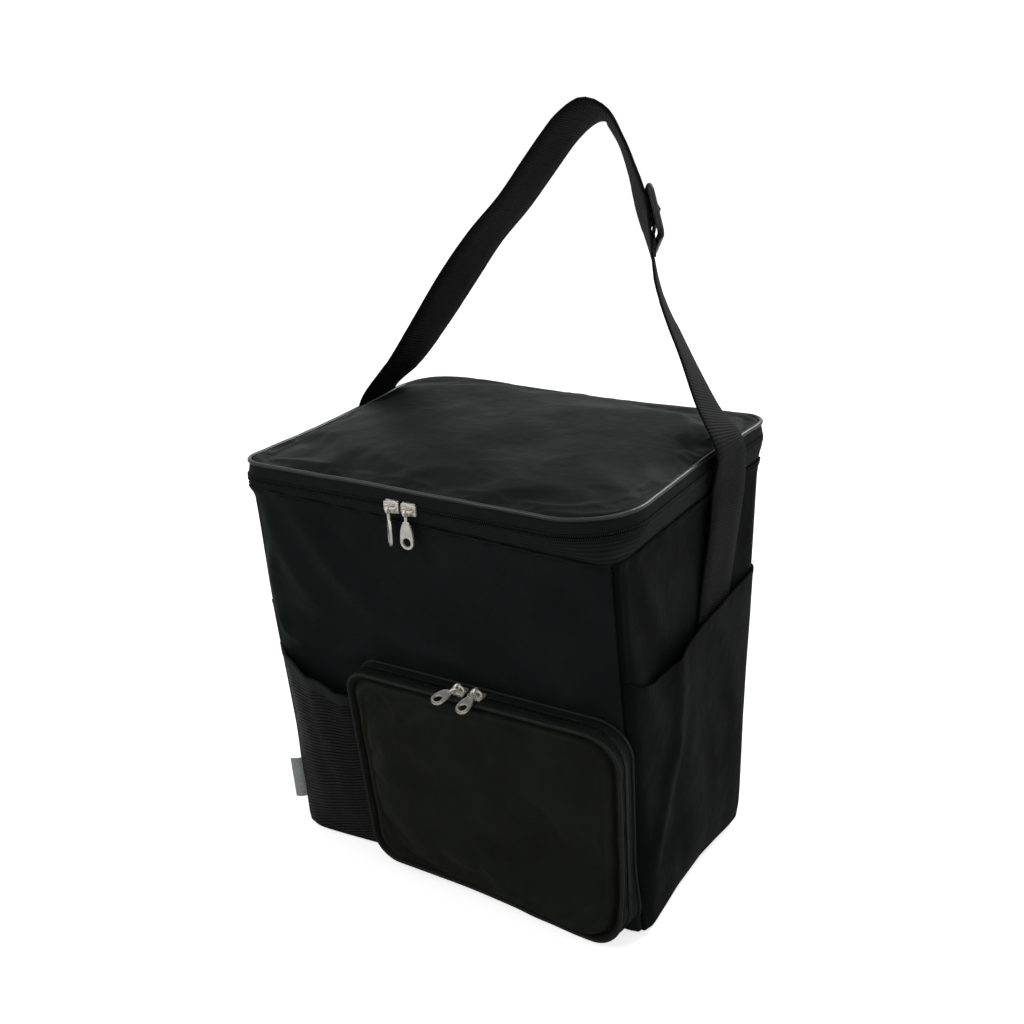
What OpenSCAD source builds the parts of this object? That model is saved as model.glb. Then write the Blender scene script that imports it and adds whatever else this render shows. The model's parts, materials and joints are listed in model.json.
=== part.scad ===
// Soft insulated carrier: a zipped lid, a front pocket, a mesh pocket, side slip pockets and a webbing strap.
// Millimetres, +Z up, front towards -Y, origin in the middle of the base.

/* [Bag] */
// Width over the lid piping
lid_w = 300; // [270:1:340]
// Depth over the lid piping
lid_d = 240; // [215:1:270]
// Height of the middle of the lid piping
pipe_z = 326; // [300:1:370]
// Width of the base
base_w = 300; // [280:1:330]
// Depth of the base
base_d = 168; // [150:1:185]
// Corner radius of the lid in plan
lid_r = 42; // [35:1:60]
// Corner radius of the body in plan
body_r = 16; // [12:1:22]
// Radius of the bottom edge
foot_r = 7; // [6:0.5:9]

/* [Layers] */
// Thickness of the outer fabric
fabric_t = 1.2; // [0.8:0.1:1.6]
// Thickness of the wall foam
foam_t = 6; // [4:0.5:8]
// Thickness of the inner lining
liner_t = 0.8; // [0.6:0.1:1.2]
// Thickness of the stiffener board in the base
board_t = 2.3; // [1.5:0.1:3]
// Height of the floor foam's top
floor_z = 10; // [8:0.5:14]
// Rise of the padded lid in its middle
dome_h = 8; // [6:0.5:12]

/* [Top zip] */
// Distance from the zip line up to the middle of the piping
zip_drop = 12; // [11:0.5:18]
// Height of the lower zip band
band_h = 14; // [10:1:24]
// Radius of the lid piping
pipe_r = 2.5; // [2:0.1:3]
// Height of each half of the zip chain
coil_h = 2.2; // [1.8:0.1:2.6]
// How far the chain stands proud of its tape
coil_out = 0.8; // [0.5:0.1:1.2]
// Width of the channel between the two halves
chain_gap = 1.6; // [1.2:0.1:2]
// Place of the left slider from the middle
left_slider_x = -18.5; // [-40:0.5:-14]
// Place of the right slider from the middle
right_slider_x = -4.5; // [-4.5:0.5:30]

/* [Sliders and pulls] */
// Length of a slider along the zip
slider_l = 12; // [10:0.5:13]
// Width of a slider across the zip
slider_w = 9.6; // [9:0.2:11]
// Plate thickness of a slider
slider_t = 1.5; // [1.2:0.1:1.8]
// Height of the pull's pin over the slider plate
pin_h = 3.4; // [3:0.1:4]
// Diameter of the pull's pin
pin_d = 1.8; // [1.6:0.1:2]
// Length of a top zip pull from its pin
pull_l = 27; // [22:1:32]
// Length of a pocket zip pull from its pin
pocket_pull_l = 22; // [18:1:24]
// Width of a pull
pull_w = 10; // [8:0.5:11]
// Thickness of a pull
pull_t = 1.8; // [1.4:0.1:2.2]
// Diameter of the hole in a pull
pull_hole_d = 6; // [4:0.5:6.5]

/* [Front pocket] */
// Left edge of the pocket
pocket_x0 = -69; // [-85:1:-50]
// Right edge of the pocket
pocket_x1 = 146; // [120:1:147]
// Bottom of the pocket along the front wall
pocket_s0 = 3.5; // [3.5:0.5:10]
// Top of the pocket along the front wall
pocket_s1 = 181; // [150:1:200]
// Depth of the pocket from the wall to its face
pocket_d = 20; // [19:1:26]
// Corner radius of the pocket
pocket_r = 20; // [14:1:26]
// Height of the fixed strip under the opening face
pocket_sill = 20; // [18:1:30]
// Radius of the pocket piping
pocket_pipe_r = 1.8; // [1.4:0.1:2.2]
// Rise of the padded pocket face in its middle
pocket_crown = 3; // [1:0.5:6]
// Distance of the pocket zip line from the wall
pocket_zip_d = 10.5; // [9:0.5:11]
// Place of the left pocket slider
pocket_left_x = 24; // [0:0.5:25]
// Place of the right pocket slider
pocket_right_x = 38.5; // [38:0.5:60]
// Thickness of the pocket face
pocket_face_t = 3; // [2:0.5:4]

/* [Mesh and slip pockets] */
// Room behind the mesh at its top
mesh_gap = 7.5; // [7:0.5:8]
// Height of the mesh hem at the corner
mesh_top_left = 166; // [140:1:180]
// Height of the mesh hem beside the front pocket
mesh_top_right = 147; // [130:1:170]
// Height of the elastic hem
hem_h = 10; // [6:1:14]
// Thickness of the mesh
mesh_t = 1.2; // [1:0.1:1.6]
// Room behind a side slip pocket at its top
slip_gap = 6; // [5.5:0.1:7]
// Height of a slip pocket at the front
slip_front_z = 190; // [170:1:200]
// Height of a slip pocket at the back
slip_back_z = 214; // [205:1:225]

/* [Strap] */
// Width of the webbing
web_w = 50; // [38:1:50]
// Thickness of the webbing
web_t = 2; // [1.6:0.1:2.4]
// Height of the strap's bend over the middle of the lid piping
bend_up = 12; // [11:1:20]
// Place of that bend from front to back
swing_y = 50; // [30:1:56]
// How far the middle of the webbing stands outside the lid's edge
leg_out = 2.5; // [2:0.5:5]
// Height of the strap loop above the bend
loop_h = 220; // [180:1:240]
// Backward lean of the standing loop in degrees
loop_lean = 20; // [10:1:24]
// Backward lean of the sewn ends in degrees
end_lean = 9; // [4:1:12]
// Lowest point of the sewn ends
end_low_z = 122; // [110:1:140]
// Height up to which the ends lie on the side panels
end_flat_z = 176; // [160:1:185]
// Width of each buckle rail beside the webbing
rail_w = 5; // [4:0.5:7]
// Length of the buckle along the strap
buckle_l = 36; // [30:1:40]
// Length of the free tail behind the buckle
tail_l = 34; // [24:1:38]

/* [Side tag] */
// Height of the folded tag
tag_h = 37; // [25:1:45]
// How far the tag stands out of the seam
tag_out = 14; // [10:1:16]
// Middle height of the tag
tag_z = 48; // [40:1:70]

/* [Hidden] */
$fn = 32;

arc_n = 8;                       // steps in a quarter corner
arc_pts = arc_n + 1;
mid_pt = arc_n / 2;
clear = 0.3;                     // running gap between pieces on different bodies
seat = 0.15;                     // half of the gap at the lid's bend
zip_z = pipe_z - zip_drop;
zip_low = zip_z - chain_gap / 2 - coil_h;
zip_high = zip_z + chain_gap / 2 + coil_h;
body_top = zip_low - band_h;
foam_top = body_top - 2;
tape_top = pipe_z - pipe_r;
top_w = lid_w - 2 * pipe_r;
top_d = lid_d - 2 * pipe_r;
top_r = lid_r - pipe_r;
y_front = -top_d / 2;
tilt = atan((top_d - base_d) / 2 / zip_low);
pocket_w = pocket_x1 - pocket_x0;
sill_s = pocket_s0 + pocket_sill;
foot_zs = [0, fabric_t, fabric_t + board_t, foot_r];
pin_eye_d = pin_d + 0.8;
leg_x = lid_w / 2 + leg_out;
swing_z = pipe_z + bend_up;

black = [0.07, 0.075, 0.075];
dark = [0.11, 0.115, 0.115];
silver_lining = [0.78, 0.79, 0.8];
foam_white = [0.9, 0.9, 0.88];
nickel = [0.7, 0.69, 0.66];

// Plan of the bag at a height: a rounded rectangle, walked from the front right corner

function mix(a, b, t) = a + (b - a) * t;
function rise(z) = min(1, max(0, z / zip_low));
function foot_in(z) = z >= foot_r ? 0 : foot_r - sqrt(pow(foot_r, 2) - pow(foot_r - z, 2));
function half_w(z) = mix(base_w, top_w, rise(z)) / 2 - foot_in(z);
function half_d(z) = mix(base_d, top_d, rise(z)) / 2 - foot_in(z);
function flare(z) = min(1, max(0, (z - body_top) / band_h));
function plan_r(z) = mix(body_r, top_r, flare(z));
function corner(sx, sy, a0, w, d, r) =
    [for (i = [0:arc_n]) let (a = a0 + 90 * i / arc_n) [sx * (w - r) + r * cos(a), sy * (d - r) + r * sin(a)]];
function ring(z, inset) = let (w = half_w(z) - inset, d = half_d(z) - inset, r = max(plan_r(z) - inset, 2))
    concat(corner(1, -1, -90, w, d, r), corner(1, 1, 0, w, d, r),
        corner(-1, 1, 90, w, d, r), corner(-1, -1, 180, w, d, r));

// A wall over ring points i0 to i1. Each level is [height, outer inset, inner inset, swell]
// The swell fades out over ease points at the first end, and at the last end too if both is set
module wall(i0, i1, levels, ease = 0, both = true) {
    n = i1 - i0 + 1;
    last = len(levels) - 1;
    function fade(j) = ease == 0 ? 1 : sin(90 * min(1, j / ease, both ? (n - 1 - j) / ease : 1));
    function swell(l, j) = len(l) > 3 ? l[3] * fade(j) : 0;
    rings = [for (l = levels) for (side = [1, 2]) [for (j = [0:n - 1])
        let (p = ring(l[0], l[side] - swell(l, j))[(i0 + j) % (4 * arc_pts)]) [p.x, p.y, l[0]]]];
    pts = [for (r = rings) each r];
    function id(k, s, j) = (2 * k + s) * n + j;
    skins = [for (k = [0:last - 1]) for (j = [0:n - 2]) each [
        [id(k, 0, j), id(k + 1, 0, j), id(k + 1, 0, j + 1)], [id(k, 0, j), id(k + 1, 0, j + 1), id(k, 0, j + 1)],
        [id(k, 1, j), id(k + 1, 1, j + 1), id(k + 1, 1, j)], [id(k, 1, j), id(k, 1, j + 1), id(k + 1, 1, j + 1)]]];
    edges = [for (j = [0:n - 2]) each [
        [id(last, 0, j + 1), id(last, 0, j), id(last, 1, j), id(last, 1, j + 1)],
        [id(0, 0, j), id(0, 0, j + 1), id(0, 1, j + 1), id(0, 1, j)]]];
    ends = [for (k = [0:last - 1]) each [
        [id(k, 0, 0), id(k, 1, 0), id(k + 1, 1, 0)], [id(k, 0, 0), id(k + 1, 1, 0), id(k + 1, 0, 0)],
        [id(k, 0, n - 1), id(k + 1, 0, n - 1), id(k + 1, 1, n - 1)],
        [id(k, 0, n - 1), id(k + 1, 1, n - 1), id(k, 1, n - 1)]]];
    polyhedron(pts, concat(skins, edges, ends));
}

// A solid stack of plans. Each level is [height, height of its plan, inset]
module loft(levels) {
    n = 4 * arc_pts;
    last = len(levels) - 1;
    pts = [for (l = levels) for (p = ring(l[1], l[2])) [p.x, p.y, l[0]]];
    skins = [for (k = [0:last - 1]) for (j = [0:n - 1]) let (a = k * n + j, b = k * n + (j + 1) % n) each [
        [a, a + n, b + n], [a, b + n, b]]];
    polyhedron(pts, concat(skins, [[for (j = [0:n - 1]) j]], [[for (j = [n - 1:-1:0]) last * n + j]]));
}

function plain(zs, inset) = [for (z = zs) [z, z, inset]];
function sheet(zs, outer, inner) = [for (z = zs) [z, outer, inner]];

// Ring points of the four seams and of the straight run at the back
front_run = [3 * arc_pts + mid_pt, 4 * arc_pts + mid_pt];
right_run = [mid_pt, arc_pts + mid_pt];
back_run = [arc_pts + mid_pt, 2 * arc_pts + mid_pt];
left_run = [2 * arc_pts + mid_pt, 3 * arc_pts + mid_pt];
zip_run = [2 * arc_pts, 6 * arc_pts - 1];
hinge_run = [2 * arc_pts - 1, 2 * arc_pts];

module panel(run) {
    wall(run[0], run[1], sheet(concat(foot_zs, [body_top]), 0, fabric_t));
}
module wall_foam(run) {
    wall(run[0], run[1], sheet([floor_z, foam_top], fabric_t + 0.1, fabric_t + foam_t));
}

module front_panel() { color(black) panel(front_run); }
module back_panel() { color(black) panel(back_run); }
module left_side_panel() { color(dark) panel(left_run); }
module right_side_panel() { color(dark) panel(right_run); }
module bottom_panel() { color(black) loft(plain([0, fabric_t], fabric_t)); }
module base_board() { color(dark) loft(plain([fabric_t, fabric_t + board_t], fabric_t)); }
module base_foam() { color(foam_white) loft(plain([fabric_t + board_t, foot_r, floor_z], fabric_t)); }
module front_foam() { color(foam_white) wall_foam(front_run); }
module back_foam() { color(foam_white) wall_foam(back_run); }
module left_foam() { color(foam_white) wall_foam(left_run); }
module right_foam() { color(foam_white) wall_foam(right_run); }

// The lining tub, folded out over the top of the foam
module liner() {
    inner = fabric_t + foam_t;
    color(silver_lining) difference() {
        union() {
            loft(plain([floor_z, foam_top + liner_t], inner));
            loft(plain([foam_top, foam_top + liner_t], fabric_t));
        }
        loft(plain([floor_z + liner_t, body_top], inner + liner_t));
    }
}

module lower_zip_tape() {
    color(black) wall(zip_run[0], zip_run[1], sheet([body_top, zip_low], 0, fabric_t));
}
module hinge_web() {
    color(black) wall(hinge_run[0], hinge_run[1], sheet([body_top, zip_low, zip_z - seat], 0, fabric_t));
}
module chain_half(z0) {
    wall(zip_run[0], zip_run[1], sheet([z0, z0 + coil_h], -coil_out, 2 * coil_out));
}
module lower_zip_chain() { color(dark) chain_half(zip_low); }
module upper_zip_chain() { color(dark) chain_half(zip_high - coil_h); }
module upper_zip_tape() {
    color(black) wall(zip_run[0], zip_run[1], sheet([zip_high, tape_top], 0, fabric_t));
}
module lid_back_band() {
    color(black) wall(hinge_run[0], hinge_run[1], sheet([zip_z + seat, tape_top], 0, fabric_t));
}

// Profile of the padded lid from its rim to its flat middle, as [height over the piping, inset]
rim_in = pipe_r + 0.2;
function dome(shift, t) = [for (p = [[-pipe_r + 0.1, 0], [1.4, 0], [mix(1.4, dome_h, 0.4), 9],
    [mix(1.4, dome_h, 0.8), 31], [dome_h, 57]]) [pipe_z + p[0] - (p[0] > 0 ? shift : 0), pipe_z, rim_in + t + p[1]]];
lid_clear_z = zip_z + slider_w / 2 + 0.7;
lid_low = lid_clear_z + liner_t;

module lid_cover() {
    color(black) difference() {
        loft(dome(0, 0));
        loft(concat([[lid_low, pipe_z, rim_in + fabric_t]], dome(fabric_t, fabric_t)));
    }
}
module lid_foam() {
    snug = fabric_t + 0.1;
    color(foam_white) loft(concat([[lid_low, pipe_z, snug], [tape_top, pipe_z, snug]], dome(fabric_t, fabric_t)));
}
module lid_liner() {
    snug = fabric_t + 0.1;
    color(silver_lining) loft([[lid_clear_z, pipe_z, snug], [lid_low, pipe_z, snug]]);
}
module lid_piping() {
    w = top_w / 2 - top_r;
    d = top_d / 2 - top_r;
    color(dark) translate([0, 0, pipe_z]) {
        for (i = [0:3])
            translate([(i == 0 || i == 3 ? 1 : -1) * w, (i < 2 ? 1 : -1) * d, 0]) rotate([0, 0, 90 * i])
                rotate_extrude(angle = 90) translate([top_r, 0]) circle(pipe_r);
        for (s = [-1, 1]) {
            translate([-w, s * top_d / 2, 0]) rotate([0, 90, 0]) cylinder(h = 2 * w, r = pipe_r);
            translate([s * top_w / 2, d, 0]) rotate([90, 0, 0]) cylinder(h = 2 * d, r = pipe_r);
        }
    }
}

// A slider, drawn flat: zip along X, outside towards +Z, the half it keeps towards +Y
plate_z = coil_out + 0.4;
inner_z = -2 * coil_out - 0.8;
pin_z = plate_z + slider_t + pin_h;
module slider() {
    rail = 1.4;
    post = 1.4;
    difference() {
        translate([-slider_l / 2, -slider_w / 2, plate_z]) cube([slider_l, slider_w, slider_t]);
        for (s = [-1, 1]) translate([-slider_l / 2, s * slider_w / 2, plate_z - 1])
            rotate([0, 0, 45]) cube([3, 3, slider_t + 2 + plate_z], center = true);
    }
    translate([-slider_l / 2 + 1, -slider_w / 2, inner_z - slider_t]) cube([slider_l - 1, slider_w, slider_t]);
    translate([slider_l / 2 - 3, -(chain_gap - 0.7) / 2, inner_z - 0.1])
        cube([3, chain_gap - 0.7, plate_z - inner_z + 0.2]);
    translate([-slider_l / 2, slider_w / 2 - rail, plate_z - 0.8]) cube([slider_l, rail, 0.9]);
    for (s = [-1, 1]) translate([s * 3.4 - post / 2, -pin_d / 2, plate_z + slider_t - 0.1])
        cube([post, pin_d, pin_h + 0.1]);
    translate([-4.1, 0, pin_z]) rotate([0, 90, 0]) cylinder(h = 8.2, d = pin_d);
}

// A pull hanging down -Z from its pin along X; turn swings its plate round the neck
module pull(len, turn) {
    eye_t = 2.4;
    eye_d = pin_eye_d + 2.8;
    neck = 7;
    difference() {
        union() {
            rotate([0, 90, 0]) cylinder(h = eye_t, d = eye_d, center = true);
            translate([0, 0, -neck]) cylinder(h = neck - eye_d / 2 + 0.8, d = pull_t + 0.4);
        }
        rotate([0, 90, 0]) cylinder(h = eye_t + 1, d = pin_eye_d, center = true);
    }
    rotate([0, 0, turn]) rotate([90, 0, 0]) translate([0, 0, -pull_t / 2]) linear_extrude(pull_t) difference() {
        union() {
            translate([-pull_w / 2, -len + pull_w / 2]) square([pull_w, len - neck - pull_w / 2 + 1]);
            translate([0, -len + pull_w / 2]) circle(d = pull_w);
        }
        translate([0, -len + pull_w / 2]) circle(d = pull_hole_d);
    }
}

module at_top_zip(x) { translate([x, y_front, zip_z]) rotate([90, 0, 0]) children(); }
module at_top_pin(x) { translate([x, y_front - pin_z, zip_z]) children(); }
module left_slider() { color(nickel) at_top_zip(left_slider_x) mirror([1, 0, 0]) mirror([0, 1, 0]) slider(); }
module right_slider() { color(nickel) at_top_zip(right_slider_x) mirror([0, 1, 0]) slider(); }
module left_pull() { color(nickel) at_top_pin(left_slider_x) pull(pull_l, -59); }
module right_pull() { color(nickel) at_top_pin(right_slider_x) pull(pull_l, 0); }

// Frame of the sloping front wall: X across, Z up the wall, -Y outwards
module on_front() { translate([0, -base_d / 2, 0]) rotate([tilt, 0, 0]) children(); }
module slab(d0, d1) { translate([0, -d0, 0]) rotate([90, 0, 0]) linear_extrude(d1 - d0) children(); }
module pocket_plan(inset) {
    r = pocket_r - inset;
    x0 = pocket_x0 + inset;
    x1 = pocket_x1 - inset;
    y0 = pocket_s0 + inset;
    y1 = pocket_s1 - inset;
    translate([x0 + r, y0]) square([x1 - x0 - 2 * r, y1 - y0]);
    translate([x0, y0 + r]) square([x1 - x0, y1 - y0 - 2 * r]);
    for (x = [x0 + r, x1 - r]) for (y = [y0 + r, y1 - r]) translate([x, y]) circle(r);
}
module pocket_ring(outer, inner) {
    difference() {
        pocket_plan(outer);
        pocket_plan(inner);
    }
}
module below(s) { translate([pocket_x0 - 20, -20]) square([pocket_w + 40, s + 20]); }
module over(s) { translate([pocket_x0 - 20, s]) square([pocket_w + 40, pocket_s1 + 40]); }

rear_chain_d = pocket_zip_d - chain_gap / 2 - coil_h + 0.2;
front_chain_d = pocket_zip_d + chain_gap / 2;
face_d = pocket_d - pocket_face_t;
pipe_d = pocket_d - pocket_pipe_r + 0.3;
tape_end_d = pipe_d - pocket_pipe_r;
flap_hinge_d = pocket_d + 0.4;

module pocket_gusset() {
    reach = body_r + 8;
    color(black) difference() {
        on_front() slab(-reach, rear_chain_d) pocket_ring(0, fabric_t);
        loft(plain(concat(foot_zs, [body_top]), -0.1));
    }
}
module pocket_sill_strip() {
    color(black) on_front() {
        slab(rear_chain_d, face_d) intersection() {
            pocket_ring(0, fabric_t);
            below(sill_s - seat);
        }
        slab(face_d, pocket_d) intersection() {
            pocket_plan(0);
            below(sill_s - seat);
        }
    }
}
module pocket_chain_half(d0, s) {
    on_front() slab(d0, d0 + coil_h - 0.2) intersection() {
        pocket_ring(-coil_out, 2 * coil_out);
        over(s);
    }
}
module pocket_rear_chain() { color(dark) pocket_chain_half(rear_chain_d, sill_s + seat); }
module pocket_front_chain() { color(dark) pocket_chain_half(front_chain_d, sill_s + seat); }
module pocket_zip_tape() {
    color(black) on_front() slab(front_chain_d + coil_h - 0.2, tape_end_d) intersection() {
        pocket_ring(0, fabric_t);
        over(sill_s + seat);
    }
}
// Padded face of the pocket: stacked outlines given as [distance from the wall, inset]
function pocket_arc(cx, cy, a0, r) = [for (i = [0:arc_n]) let (a = a0 + 90 * i / arc_n) [cx + r * cos(a), cy + r * sin(a)]];
function pocket_outline(inset) = let (r = max(pocket_r - inset, 2), x0 = pocket_x0 + inset + r, x1 = pocket_x1 - inset - r,
    y0 = pocket_s0 + inset + r, y1 = pocket_s1 - inset - r)
    concat(pocket_arc(x1, y0, -90, r), pocket_arc(x1, y1, 0, r), pocket_arc(x0, y1, 90, r), pocket_arc(x0, y0, 180, r));
module pocket_pad(levels) {
    n = 4 * arc_pts;
    last = len(levels) - 1;
    pts = [for (l = levels) for (p = pocket_outline(l[1])) [p.x, -l[0], p.y]];
    skins = [for (k = [0:last - 1]) for (j = [0:n - 1]) let (a = k * n + j, b = k * n + (j + 1) % n) each [
        [a, a + n, b + n], [a, b + n, b]]];
    polyhedron(pts, concat(skins, [[for (j = [0:n - 1]) j]], [[for (j = [n - 1:-1:0]) last * n + j]]));
}
module pocket_face() {
    edge = pocket_pipe_r + 0.1;
    color(black) on_front() intersection() {
        pocket_pad([[face_d, edge], [pocket_d + 0.4, edge], [pocket_d + pocket_crown * 0.5, 10],
            [pocket_d + pocket_crown * 0.85, 26], [pocket_d + pocket_crown, 50]]);
        translate([0, -pocket_d - 20, 0]) slab(-pocket_d - 20, 0) over(sill_s + seat);
    }
}
module pocket_piping() {
    straight = pocket_s1 - pocket_r - sill_s - seat;
    color(dark) on_front() translate([0, -pipe_d, 0]) {
        for (x = [pocket_x0, pocket_x1]) translate([x, 0, sill_s + seat]) cylinder(h = straight, r = pocket_pipe_r);
        translate([pocket_x0 + pocket_r, 0, pocket_s1]) rotate([0, 90, 0])
            cylinder(h = pocket_w - 2 * pocket_r, r = pocket_pipe_r);
        for (s = [-1, 1]) translate([(pocket_x0 + pocket_x1) / 2 + s * (pocket_w / 2 - pocket_r), 0,
            pocket_s1 - pocket_r]) rotate([90, s > 0 ? 0 : -90, 0]) rotate_extrude(angle = 90)
            translate([pocket_r, 0]) circle(pocket_pipe_r);
    }
}

// The pocket's pulls lean forward over its piping
pull_slope = 70;
module at_pocket_zip(x) { on_front() translate([x, -pocket_zip_d, pocket_s1]) children(); }
module at_pocket_pin(x) { on_front() translate([x, -pocket_zip_d, pocket_s1 + pin_z]) children(); }
module pocket_left_slider() { color(nickel) at_pocket_zip(pocket_left_x) mirror([1, 0, 0]) mirror([0, 1, 0]) slider(); }
module pocket_right_slider() { color(nickel) at_pocket_zip(pocket_right_x) mirror([0, 1, 0]) slider(); }
module pocket_left_pull() { color(nickel) at_pocket_pin(pocket_left_x) rotate([-pull_slope, 0, 0]) pull(pocket_pull_l, 0); }
module pocket_right_pull() { color(nickel) at_pocket_pin(pocket_right_x) rotate([-pull_slope, 0, 0]) pull(pocket_pull_l, 0); }

// Mesh pocket in the left part of the front, with an elastic hem along its sloping top
mesh_x1 = pocket_x0 - coil_out - 0.4;
mesh_run = [front_run[0], front_run[0] + mid_pt + 1];
mesh_low = foot_r;
function mesh_levels(out, into) = [for (p = [[mesh_low, 0], [25, 0.45], [60, 0.75], [mesh_top_right - 20, 1],
    [mesh_top_left + 4, 1]]) [p[0], -0.1 - mesh_t - out, -0.1 + into, mesh_gap * p[1]]];
module mesh_region(low, high) {
    x0 = -base_w / 2 - 30;
    on_front() slab(-40, 40) polygon([[x0, low[0]], [mesh_x1, low[1]], [mesh_x1, high[1]], [x0, high[0]]]);
}
module mesh_pocket() {
    color(dark) intersection() {
        wall(mesh_run[0], mesh_run[1], mesh_levels(0, 0), mid_pt, false);
        mesh_region([-5, -5], [mesh_top_left - hem_h, mesh_top_right - hem_h]);
    }
}
module mesh_hem() {
    color(black) intersection() {
        wall(mesh_run[0], mesh_run[1], mesh_levels(0.6, 0), mid_pt, false);
        mesh_region([mesh_top_left - hem_h, mesh_top_right - hem_h], [mesh_top_left, mesh_top_right]);
    }
}

// Side slip pockets: a panel sewn just behind both seams and along the base, open at its curved top
slip_levels = [for (p = [[foot_r, 0], [30, 0.5], [75, 0.85], [130, 1], [slip_back_z + 6, 1]])
    [p[0], -0.1 - fabric_t, -0.1, slip_gap * p[1]]];
slip_curve = [for (i = [0:12]) let (t = i / 12) [mix(-0.2, 0.35, t), mix(slip_front_z, slip_back_z, t * t * (3 - 2 * t))]];
module slip_region() {
    far = top_d;
    rotate([90, 0, 90]) linear_extrude(lid_w + 60, center = true)
        polygon(concat([[far, -1], [-far, -1], [-far, slip_front_z]],
            [for (p = slip_curve) [p[0] * top_d, p[1]]], [[far, slip_back_z]]));
}
module slip_pocket(run) {
    intersection() {
        wall(run[0] + 1, run[1] - 1, slip_levels, mid_pt - 1);
        slip_region();
    }
}
module left_slip_pocket() { color(dark) slip_pocket(left_run); }
module right_slip_pocket() { color(dark) slip_pocket(right_run); }

// Webbing drawn in a plane: a path of [across, along] points, thickened and extruded to its width
function side_of(path, i) = let (a = path[max(i - 1, 0)], b = path[min(i + 1, len(path) - 1)], v = b - a)
    [-v.y, v.x] / norm(v);
function band(path, t) = concat([for (i = [0:len(path) - 1]) path[i] + side_of(path, i) * t / 2],
    [for (i = [len(path) - 1:-1:0]) path[i] - side_of(path, i) * t / 2]);
function blend_at(p, i, t) = let (n = len(p) - 1, a = p[max(i - 1, 0)], b = p[i], c = p[i + 1], d = p[min(i + 2, n)])
    0.5 * (2 * b + (c - a) * t + (2 * a - 5 * b + 4 * c - d) * t * t + (3 * b - a - 3 * c + d) * t * t * t);
function smooth(p, steps) = concat([for (i = [0:len(p) - 2]) for (k = [0:steps - 1]) blend_at(p, i, k / steps)],
    [p[len(p) - 1]]);
module ribbon(path, w) {
    rotate([90, 0, 0]) translate([0, 0, -w / 2]) linear_extrude(w) polygon(band(path, web_t));
}

// The loop's shape: share of the half width, and of the loop height
loop_left = [[-1, 0], [-0.99, 0.035], [-0.9, 0.085], [-0.75, 0.169], [-0.68, 0.247], [-0.557, 0.406],
    [-0.433, 0.551], [-0.295, 0.677], [-0.184, 0.803], [-0.085, 0.914]];
loop_right = [[0.04, 0.99], [0.145, 0.985], [0.24, 0.91], [0.33, 0.79], [0.41, 0.66], [0.492, 0.527], [0.63, 0.358],
    [0.761, 0.208], [0.83, 0.14], [0.93, 0.078], [0.99, 0.035], [1, 0]];
loop_path = smooth([for (p = concat(loop_left, loop_right)) [p.x * leg_x, p.y * loop_h]], 3);
module in_loop() { translate([0, swing_y, swing_z]) rotate([-loop_lean, 0, 0]) children(); }
module strap_webbing() {
    color(black) in_loop() {
        ribbon(loop_path, web_w);
        for (s = [-1, 1]) translate([s * leg_x - web_t / 2, 0, 0]) rotate([0, 90, 0]) cylinder(h = web_t, d = web_w, $fn = 64);
    }
}

// A sewn end: flat on the side panel, then standing off and rising past the lid
lies_on = 0.1;
function wall_at(z) = max(half_w(end_low_z), half_w(z)) + lies_on + web_t / 2;
function end_at(share, out) = let (z = mix(end_flat_z, swing_z, share)) [mix(wall_at(z), leg_x, out), z - swing_z];
end_path = smooth([[wall_at(end_low_z), end_low_z - swing_z], end_at(-0.16, 0), end_at(0, 0), end_at(0.09, 0.15),
    end_at(0.35, 0.55), end_at(0.6, 0.85), end_at(0.8, 1), [leg_x, 0]], 3);
module strap_end() {
    difference() {
        translate([0, swing_y, swing_z]) rotate([-end_lean, 0, 0]) ribbon(end_path, web_w);
        translate([leg_x - 5, swing_y, swing_z]) rotate([0, 90, 0]) cylinder(h = 10, d = web_w + 2 * clear, $fn = 64);
        translate([leg_x - 5, swing_y - web_w, swing_z]) cube([10, 2 * web_w, web_w]);
    }
}
module right_strap_end() { color(black) strap_end(); }
module left_strap_end() { color(black) mirror([1, 0, 0]) strap_end(); }

// Ladder buckle on the straight upper part of the right leg
buckle_a = [0.33 * leg_x, 0.79 * loop_h];
buckle_b = [0.492 * leg_x, 0.527 * loop_h];
buckle_mid = [0.411 * leg_x, 0.6585 * loop_h];
buckle_turn = atan2(buckle_a.x - buckle_b.x, buckle_a.y - buckle_b.y);
module at_buckle() {
    in_loop() translate([buckle_mid.x, 0, buckle_mid.y]) rotate([0, buckle_turn, 0]) children();
}
bar_t = 2.4;
module strap_buckle() {
    off = web_t / 2 + 0.5;
    bar_l = web_w + 2 * clear + 2;
    color(dark) at_buckle() {
        for (s = [-1, 1]) translate([-off - bar_t, s * (web_w / 2 + clear + rail_w / 2) - rail_w / 2, -buckle_l / 2])
            cube([2 * off + 2 * bar_t, rail_w, buckle_l]);
        for (s = [-1, 1]) translate([off, -bar_l / 2, s * (buckle_l / 2 - 2.5) - 2.5]) cube([bar_t, bar_l, 5]);
        translate([-off - bar_t, -bar_l / 2, -3]) cube([bar_t, bar_l, 6]);
    }
}
module strap_tail() {
    color(black) at_buckle() translate([web_t / 2 + 0.5 + bar_t + 0.1, -web_w / 2, -buckle_l / 2 - tail_l + 14])
        cube([web_t, web_w, tail_l]);
}

// Bare folded tag in the left front seam
module side_tag() {
    seam = ring(tag_z, 0)[front_run[0]];
    color([0.5, 0.51, 0.51]) translate([seam.x, seam.y, tag_z]) rotate([tilt, 0, 0]) rotate([0, 0, 225])
        translate([0.4, -1.3, -tag_h / 2]) cube([tag_out, 0.7, tag_h]);
}

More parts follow.
